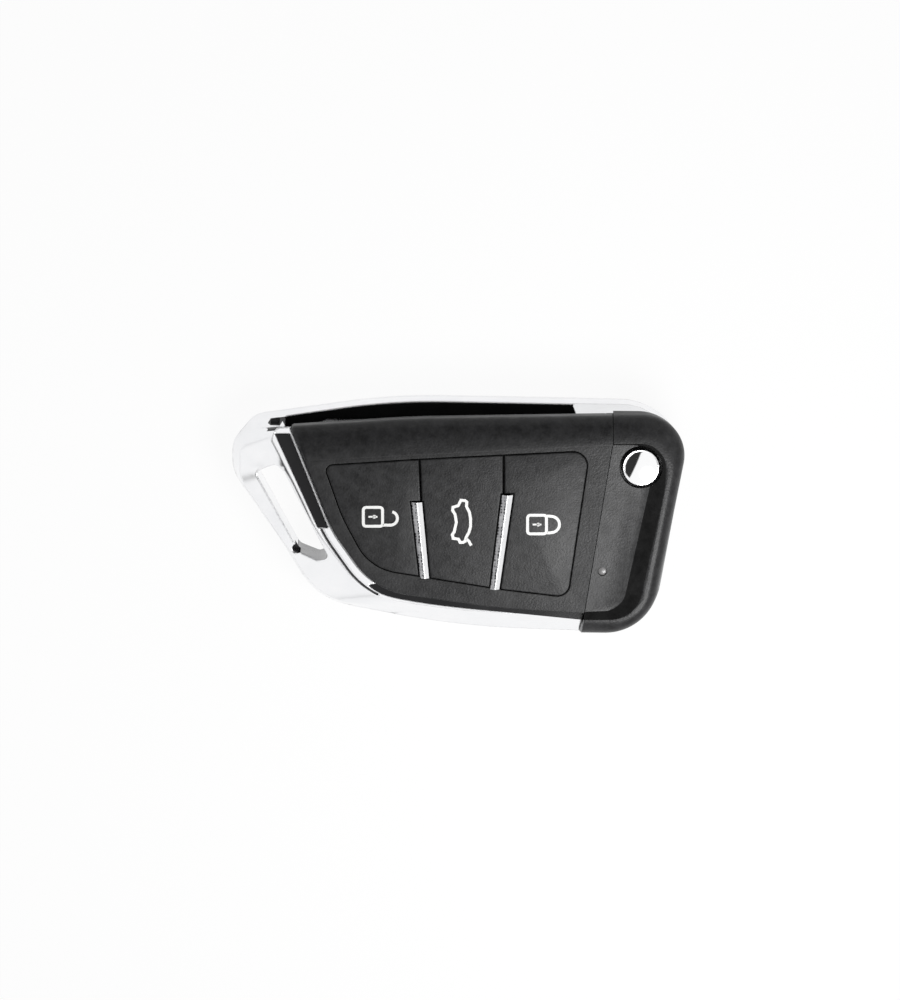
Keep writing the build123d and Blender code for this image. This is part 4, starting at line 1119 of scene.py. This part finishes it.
@dataclass
class Turned:
    """A piece turned about an upright axis.

    Attributes:
        name: Name of the piece.
        axis: Place of the axis, in millimetres in the frame.
        profile: Radius and height of each corner in millimetres, from the axis outwards and back.
        steps: Runs round the axis.
    """

    name: str
    axis: Vector
    profile: Sequence[tuple[float, float]]
    steps: int = 96

    def build(self) -> bpy.types.Object:
        """Spins the profile and closes the piece.

        Returns:
            The piece.
        """
        piece = Bench.outline([(radius * MM, 0.0, height * MM) for radius, height in self.profile], "NOTHING")
        with Bench.editing(piece):
            Bench.pick(piece, lambda edge: any(vertex.co.x > 0.0 for vertex in edge.verts), "EDGE")
            bpy.ops.mesh.spin(
                steps=self.steps, angle=math.tau, center=(0.0, 0.0, 0.0), axis=(0.0, 0.0, 1.0), dupli=False
            )
            bpy.ops.mesh.select_all(action="SELECT")
            bpy.ops.mesh.remove_doubles(threshold=0.000001)
            bpy.ops.mesh.dissolve_degenerate(threshold=0.0000005)
            bpy.ops.mesh.delete_loose()
        Bench.face_out(piece)
        piece.location = (self.axis.x * MM, self.axis.y * MM, 0.0)
        Bench.settle(piece)
        Bench.smooth(piece, 30.0)
        return Bench.merge(self.name, [piece])


def cap_arc(radius: float, low: float, high: float, steps: int) -> list[tuple[float, float]]:
    """Radius and height of points on a domed cap, from its rim to the axis.

    Args:
        radius: Radius of the rim.
        low: Height of the rim.
        high: Height of the top.
        steps: How many runs.

    Returns:
        The points.
    """
    rise = high - low
    ball = (radius * radius + rise * rise) / (2 * rise)
    widest = math.asin(radius / ball)
    turns = [widest * (1 - step / steps) for step in range(steps + 1)]
    return [(ball * math.sin(turn), high - ball * (1 - math.cos(turn))) for turn in turns]


@dataclass
class BladeUnit:
    """The flip head with the blade, its pin, the release button and the spring, in millimetres.

    Attributes:
        bore: Radius of the button's lower bore.
        bore_top: Height of the bore's end.
        flange: Radius of the button's flange.
        flange_heights: Heights of the flange's underside and top.
        flange_ease: Width of the flange's eased edges.
        bore_ease: Width of the eased edge at the bore.
        stem: Radius of the button's stem.
        rim: Outer radius of the bright rim.
        rim_height: Height of the rim.
        rim_roll: Corners of the rolled rim: outwards from its radius, and down from its height.
        dome: Radius of the dome inside the rim.
        dome_heights: Heights at which the dome starts and ends.
        dome_gap: Step between the rim and the dome.
        spring_smooth_deg: Edges of the spring sharper than this stay sharp.
    """

    bore: float = 1.8
    bore_top: float = 9.895
    flange: float = 4.3
    flange_heights: tuple[float, float] = (9.295, 10.595)
    flange_ease: float = 0.12
    bore_ease: float = 0.1
    stem: float = 3.3
    rim: float = 3.1
    rim_height: float = 14.96
    rim_roll: tuple[tuple[float, float], ...] = (
        (0.2, 0.75), (0.04, 0.4), (0.02, 0.12), (-0.03, 0.02), (-0.1, 0.0), (-0.17, 0.02), (-0.2, 0.08),
    )
    dome: float = 2.82
    dome_heights: tuple[float, float] = (14.86, 15.32)
    dome_gap: float = 0.03
    spring_smooth_deg: float = 60.0

    def _button(self) -> None:
        """The release button: a dome inside a thin rim."""
        low, high = self.flange_heights
        profile = [
            (0.0, self.bore_top),
            (self.bore, self.bore_top),
            (self.bore, low + self.bore_ease),
            (self.bore + self.bore_ease, low),
            (self.flange - self.flange_ease, low),
            (self.flange, low + self.flange_ease),
            (self.flange, high - self.flange_ease),
            (self.flange - self.flange_ease, high),
            (self.stem, high),
            *((self.rim + out, self.rim_height - down) for out, down in self.rim_roll),
            (self.dome + self.dome_gap, self.dome_heights[0] - self.dome_gap),
            *cap_arc(self.dome, *self.dome_heights, 18),
        ]
        button = Turned("release_button_skin", PIVOT, profile).build()
        dress(button, BUTTON_METAL, Body.BUTTON, ("release_button",))

    def build(self) -> None:
        """Builds the button and the skins of the blade unit."""
        self._button()
        for node, finish in (("flip_head", HEAD_METAL), ("key_blade", BLADE_STEEL), ("blade_pin", SPRING_STEEL)):
            Shell(node, finish, Body.BLADE).build()
        Shell("pivot_spring", SPRING_STEEL, smooth_deg=self.spring_smooth_deg).build()


@dataclass
class Electronics:
    """The board, its parts, the cell with its contacts, the coil and the immobiliser chip, in millimetres.

    Attributes:
        pin: Radius of the window's pin.
        pin_ease: Width of its eased edges.
        collar_heights: Heights of its collar's underside and top.
        lens_rise: How far its domed lens stands over its rim.
        leg: Outline of a chip's leg, outwards from the chip and upwards from the board.
        leg_width: Width of a leg.
        leg_pitch: Distance between legs.
        legs_a_side: Legs on each of the four sides.
        passives: Places of the small parts round the chips: along, across, and 1 for those that lie crosswise.
        passive_size: Length, width and height of such a part.
        end_size: Length, width and height of its tinned ends.
        end_place: Distance of the ends from its middle.
        passive_rises: Heights of its middle and of its ends' middles over the board.
        passive_eases: Widths of the eased edges of the part and its ends.
        can: Corners of the cell's can: inwards from its radius, and up from its foot or down from its rim.
        rim_drop: How far the can's rim lies under the cap.
        crimp: Width of the cell's crimped rim.
        gasket: Width of the ring between the cell's rim and its cap.
        gasket_drop: How far the ring lies under the rim.
        cap_ease: Width and height of the cap's eased edge.
    """

    pin: float = 0.75
    pin_ease: float = 0.05
    collar_heights: tuple[float, float] = (11.8, 12.6)
    lens_rise: float = 0.16
    leg: tuple[tuple[float, float], ...] = (
        (-0.02, 0.58), (0.26, 0.58), (0.38, 0.5), (0.46, 0.16), (0.56, 0.12), (0.9, 0.12),
        (0.9, 0.0), (0.5, 0.0), (0.37, 0.08), (0.29, 0.42), (0.22, 0.46), (-0.02, 0.46),
    )
    leg_width: float = 0.28
    leg_pitch: float = 0.65
    legs_a_side: int = 7
    passives: tuple[tuple[float, float, int], ...] = (
        (-3.6, -4.4, 0), (-3.6, -5.7, 0), (-3.6, -7.0, 0), (-1.4, -4.4, 1), (-0.2, -4.4, 1), (1.0, -4.4, 1),
        (1.6, -6.4, 0), (1.6, -7.7, 0), (1.6, -9.0, 0), (12.0, -4.6, 0), (12.0, -5.9, 0), (12.0, -7.2, 0),
        (4.4, 4.0, 1), (4.4, 6.0, 1), (10.6, 4.0, 1), (10.6, 6.0, 1), (-7.4, -1.6, 0), (-7.4, -7.8, 0),
    )
    passive_size: tuple[float, float, float] = (0.78, 0.5, 0.38)
    end_size: tuple[float, float, float] = (0.26, 0.54, 0.42)
    end_place: float = 0.48
    passive_rises: tuple[float, float] = (0.2, 0.21)
    passive_eases: tuple[float, float] = (0.03, 0.05)
    can: tuple[tuple[tuple[float, float], ...], tuple[tuple[float, float], ...]] = (
        ((0.35, 0.0), (0.1, 0.08), (0.0, 0.3)),
        ((0.0, 0.35), (0.1, 0.1), (0.35, 0.0)),
    )
    rim_drop: float = 0.16
    crimp: float = 0.9
    gasket: float = 0.35
    gasket_drop: float = 0.14
    cap_ease: tuple[float, float] = (0.1, 0.08)

    @staticmethod
    def _block(centre: tuple[float, float, float], size: tuple[float, float, float], ease: float) -> bpy.types.Object:
        """A small block with eased edges.

        Args:
            centre: Its middle.
            size: Its sides.
            ease: Width of the eased edges.

        Returns:
            The block.
        """
        Bench.clear()
        bpy.ops.mesh.primitive_cube_add(size=1.0, location=[value * MM for value in centre])
        block = bpy.context.object
        block.scale = [value * MM for value in size]
        Bench.settle(block)
        Bench.modify(block, "BEVEL", {"width": ease * MM, "segments": 2, "limit_method": "NONE"})
        return block

    def _leg(self, place: Vector, turn: float) -> bpy.types.Object:
        """One bent leg of a chip.

        Args:
            place: Where the leg leaves the chip, at the height of the board.
            turn: Direction in which it points, in radians.

        Returns:
            The leg.
        """
        leg = Bench.outline([(out * MM, 0.0, rise * MM) for out, rise in self.leg])
        Bench.modify(leg, "SOLIDIFY", {"thickness": self.leg_width * MM, "offset": 0.0})
        Bench.face_out(leg)
        leg.rotation_euler = (0.0, 0.0, turn)
        leg.location = place * MM
        Bench.settle(leg)
        return leg

    def _legs(self) -> None:
        """The legs on the four sides of the control chip."""
        low, high = box_of("control_chip")
        foot = Vector(((low.x + high.x) / 2, (low.y + high.y) / 2, low.z))
        reach = (high.x - low.x) / 2
        legs = []
        for side in range(4):
            turn = side * math.pi / 2
            out = Vector((math.cos(turn), math.sin(turn), 0.0))
            along = Vector((-out.y, out.x, 0.0))
            for index in range(self.legs_a_side):
                offset = (index - (self.legs_a_side - 1) / 2) * self.leg_pitch
                legs.append(self._leg(foot + out * reach + along * offset, turn))
        piece = Bench.merge("control_chip_legs", legs)
        Bench.smooth(piece, 40.0)
        dress(piece, SWITCH_METAL, Body.CASE)

    def _passives(self) -> None:
        """Resistors and capacitors: a body between two tinned ends."""
        board = box_of("circuit_board")[1].z
        rises, eases = self.passive_rises, self.passive_eases
        bodies, ends = [], []
        for along, across, crosswise in self.passives:
            turn = 1 if crosswise else 0
            body_size, end_size = (
                (size[turn], size[1 - turn], size[2]) for size in (self.passive_size, self.end_size)
            )
            bodies.append(self._block((along, across, board + rises[0]), body_size, eases[0]))
            for shift in (-self.end_place, self.end_place):
                place = (along, across + shift) if crosswise else (along + shift, across)
                ends.append(self._block((*place, board + rises[1]), end_size, eases[1]))
        dress(Bench.merge("passive_bodies", bodies), CERAMIC_TAN, Body.CASE)
        dress(Bench.merge("passive_ends", ends), SWITCH_METAL, Body.CASE)

    def _cell(self) -> None:
        """The coin cell: a can crimped over a gasket round the cap."""
        low, high = box_of("battery")
        middle = (low + high) / 2
        radius = (high.x - low.x) / 2
        rim = high.z - self.rim_drop
        ring = radius - self.crimp
        cap = ring - self.gasket
        floor = rim - self.gasket_drop
        foot_corners, rim_corners = self.can
        profile = [
            (0.0, low.z),
            *((radius - inward, low.z + up) for inward, up in foot_corners),
            *((radius - inward, rim - down) for inward, down in rim_corners),
            (ring, rim),
            (ring, floor),
            (cap, floor),
            (cap, high.z - self.cap_ease[1]),
            (cap - self.cap_ease[0], high.z),
            (0.0, high.z),
        ]
        cell = Turned("battery_skin", middle, profile).build()
        dress(cell, CELL_STEEL, Body.CASE, ("battery",))

        def in_gasket(face: bmesh.types.BMFace) -> bool:
            """Says whether a face is the ring between the rim and the cap."""
            centre = middle_of(face)
            return cap < (centre.xy - middle.xy).length < ring and centre.z < floor + self.gasket_drop / 4

        patch(cell, CHIP_BLACK, in_gasket)

    def _window(self) -> None:
        """The indicator's window: a clear pin with a collar and a domed lens."""
        low, high = box_of("indicator_window")
        collar = (high.x - low.x) / 2
        shoulder = high.z - self.lens_rise
        profile = [
            (0.0, low.z),
            (self.pin - self.pin_ease, low.z),
            (self.pin, low.z + self.pin_ease),
            *((radius, self.collar_heights[0]) for radius in (self.pin, collar)),
            *((radius, self.collar_heights[1]) for radius in (collar, self.pin)),
            (self.pin, shoulder - self.pin_ease),
            *cap_arc(self.pin - self.pin_ease, shoulder, high.z, 8),
        ]
        lens = Turned("indicator_window_skin", (low + high) / 2, profile, 48).build()
        dress(lens, WINDOW_DARK, Body.CASE, ("indicator_window",))

    def build(self) -> None:
        """Builds the window, the cell, the small parts and the skins of the electronics."""
        self._window()
        self._cell()
        self._legs()
        self._passives()
        for node, finish in (
            ("circuit_board", BOARD_GREEN),
            ("tact_switches", SWITCH_METAL),
            ("control_chip", CHIP_BLACK),
            ("radio_chip", CHIP_BLACK),
            ("crystal", SWITCH_METAL),
            ("indicator_lamp", LAMP_WHITE),
            ("battery_clip_positive", CONTACT_NICKEL),
            ("battery_clip_negative", CONTACT_NICKEL),
            ("antenna_core", FERRITE),
            ("antenna_coil", WINDING_COPPER),
            ("transponder_chip", CHIP_BLACK),
            ("case_screws", SCREW_STEEL),
        ):
            Shell(node, finish).build()


@dataclass
class Studio:
    """Floor, light and camera.

    Attributes:
        floor_size: Side of the floor in metres.
        floor_height: Height of the floor, a hair under the fob, in metres.
        floor_tone: Brightness of the floor's colour.
        floor_roughness: Its roughness.
        floor_share: Share of plain white in what the camera sees of it.
        tilt_deg: How far the camera leans from straight above towards the blade slot.
        lens: Focal length in millimetres.
        sensor: Width of the sensor in millimetres.
        view_height: Height of the photograph's frame at the fob, in metres.
        target: Point at the middle of the photograph, in plan millimetres.
        card_side: Side on which the black card stands.
        card_near: Shares of that side at which the card fades in.
        card_far: Shares at which it fades out.
        card_end: Shares along the card at which its near end fades out.
        card_foot: Heights between which it fades in.
        card_tone: Its brightness.
        horizon_band: Heights between which the horizon fades to the pale sky.
        horizon_tone: Brightness of the horizon.
        world_strength: Strength with which the surround lights the fob.
        lamp_place: Place of the lamp in metres.
        lamp_size: Its diameter in metres.
        lamp_power: Its power in watts.
    """

    floor_size: float = 6.0
    floor_height: float = -0.00005
    floor_tone: float = 0.95
    floor_roughness: float = 0.9
    floor_share: float = 0.93
    tilt_deg: float = 10.88
    lens: float = 300.0
    sensor: float = 36.0
    view_height: float = 0.1726
    target: tuple[float, float, float] = (-1.3827, 3.0327, 7.5)
    card_side: tuple[float, float, float] = (-0.923, 0.385, 0.0)
    card_near: tuple[float, float] = (0.12, 0.15)
    card_far: tuple[float, float] = (0.5, 0.56)
    card_end: tuple[float, float] = (0.64, 0.7)
    card_foot: tuple[float, float] = (0.45, 0.5)
    card_tone: float = 0.03
    horizon_band: tuple[float, float] = (0.0, 0.16)
    horizon_tone: float = 0.75
    world_strength: float = 0.55
    lamp_place: tuple[float, float, float] = (0.07, -0.055, 0.15)
    lamp_size: float = 0.09
    lamp_power: float = 0.22

    @staticmethod
    def _seen(nodes: Nodes) -> bpy.types.NodeSocket:
        """Tells what the camera and reflections see from what lights the fob.

        Args:
            nodes: The nodes of the floor or the world.

        Returns:
            1 for what is seen, 0 for the light.
        """
        rays = nodes.add("LightPath").outputs
        return nodes.math("MAXIMUM", rays["Is Camera Ray"], rays["Is Glossy Ray"])

    def _floor(self) -> None:
        """A pale floor that shows white, keeps a faint shadow and can't be seen from below."""
        Bench.clear()
        bpy.ops.mesh.primitive_plane_add(size=self.floor_size, location=(0.0, 0.0, self.floor_height))
        floor = bpy.context.object
        floor.name = "floor"
        material = bpy.data.materials.new("floor_white")
        material.use_nodes = True
        nodes = Nodes(material.node_tree)
        matt = nodes.tree.nodes["Principled BSDF"]
        nodes.fill(matt, {"Base Color": (*[self.floor_tone] * 3, 1.0), "Roughness": self.floor_roughness})
        glow = nodes.add("Emission", {"Color": WHITE, "Strength": 1.0})
        share = nodes.math("MULTIPLY", self._seen(nodes), self.floor_share)
        pale = nodes.add("MixShader", {0: share, 1: matt.outputs[0], 2: glow.outputs[0]})
        below = nodes.add("NewGeometry").outputs["Backfacing"]
        clear = nodes.add("BsdfTransparent")
        surface = nodes.add("MixShader", {0: below, 1: pale.outputs[0], 2: clear.outputs[0]})
        nodes.fill(nodes.tree.nodes["Material Output"], {"Surface": surface.outputs[0]})
        floor.data.materials.append(material)

    def _world(self) -> None:
        """A pale surround with a darker horizon and one black card high on the left."""
        world = bpy.data.worlds.new("surround")
        bpy.context.scene.world = world
        world.use_nodes = True
        nodes = Nodes(world.node_tree)
        place = nodes.add("TexCoord").outputs["Generated"]
        height = nodes.add("SeparateXYZ", {0: place}).outputs["Z"]
        side = Vector(self.card_side).normalized()
        towards, along = (
            nodes.add("VectorMath", {0: place, 1: way}, operation="DOT_PRODUCT").outputs["Value"]
            for way in (side, (-self.card_side[1], self.card_side[0], 0.0))
        )
        shade = nodes.ramp(towards, *self.card_near)
        for part in (
            nodes.ramp(towards, *self.card_far, 1.0, 0.0),
            nodes.ramp(along, *self.card_end, 1.0, 0.0),
            nodes.ramp(height, *self.card_foot),
        ):
            shade = nodes.math("MULTIPLY", shade, part)
        horizon = nodes.ramp(height, *self.horizon_band, self.horizon_tone, 1.0)
        tone = nodes.math("MULTIPLY", horizon, nodes.ramp(shade, 0.0, 1.0, 1.0, self.card_tone))
        strength = nodes.ramp(self._seen(nodes), 0.0, 1.0, self.world_strength, 1.0)
        nodes.fill(nodes.tree.nodes["Background"], {"Color": nodes.mix(tone, BLACK, WHITE), "Strength": strength})

    def _lamp(self) -> None:
        """A soft round lamp that faces the fob."""
        data = bpy.data.lights.new("near_lamp", "AREA")
        data.shape = "DISK"
        data.size = self.lamp_size
        data.energy = self.lamp_power
        lamp = bpy.data.objects.new("near_lamp", data)
        bpy.context.scene.collection.objects.link(lamp)
        lamp.location = self.lamp_place
        lamp.rotation_mode = "QUATERNION"
        lamp.rotation_quaternion = Vector(self.lamp_place).to_track_quat("Z", "Y")

    def _camera(self) -> None:
        """The photograph's camera."""
        data = bpy.data.cameras.new("camera")
        data.lens = self.lens
        data.sensor_width = self.sensor
        data.clip_start = 0.01
        data.clip_end = 100.0
        camera = bpy.data.objects.new("camera", data)
        bpy.context.scene.collection.objects.link(camera)
        tilt = math.radians(self.tilt_deg)
        back = Vector((0.0, math.sin(tilt), math.cos(tilt)))
        up = Vector((0.0, math.cos(tilt), -math.sin(tilt)))
        distance = self.lens / self.sensor * self.view_height
        turn = Matrix((up.cross(back), up, back)).transposed()
        target = (Vector(self.target) + PLAN_SHIFT) * MM
        camera.matrix_world = Matrix.Translation(target + back * distance) @ turn.to_4x4()
        bpy.context.scene.camera = camera

    def build(self) -> None:
        """Builds the floor, the light and the camera."""
        self._floor()
        self._world()
        self._lamp()
        self._camera()
        bpy.context.scene.view_settings.view_transform = "Standard"


def main() -> None:
    """Builds the fob's looks, in order."""
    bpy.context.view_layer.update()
    Studio().build()
    Covers().build()
    KeyPanel().build()
    BladeUnit().build()
    Electronics().build()


if __name__ == "__main__":
    main()
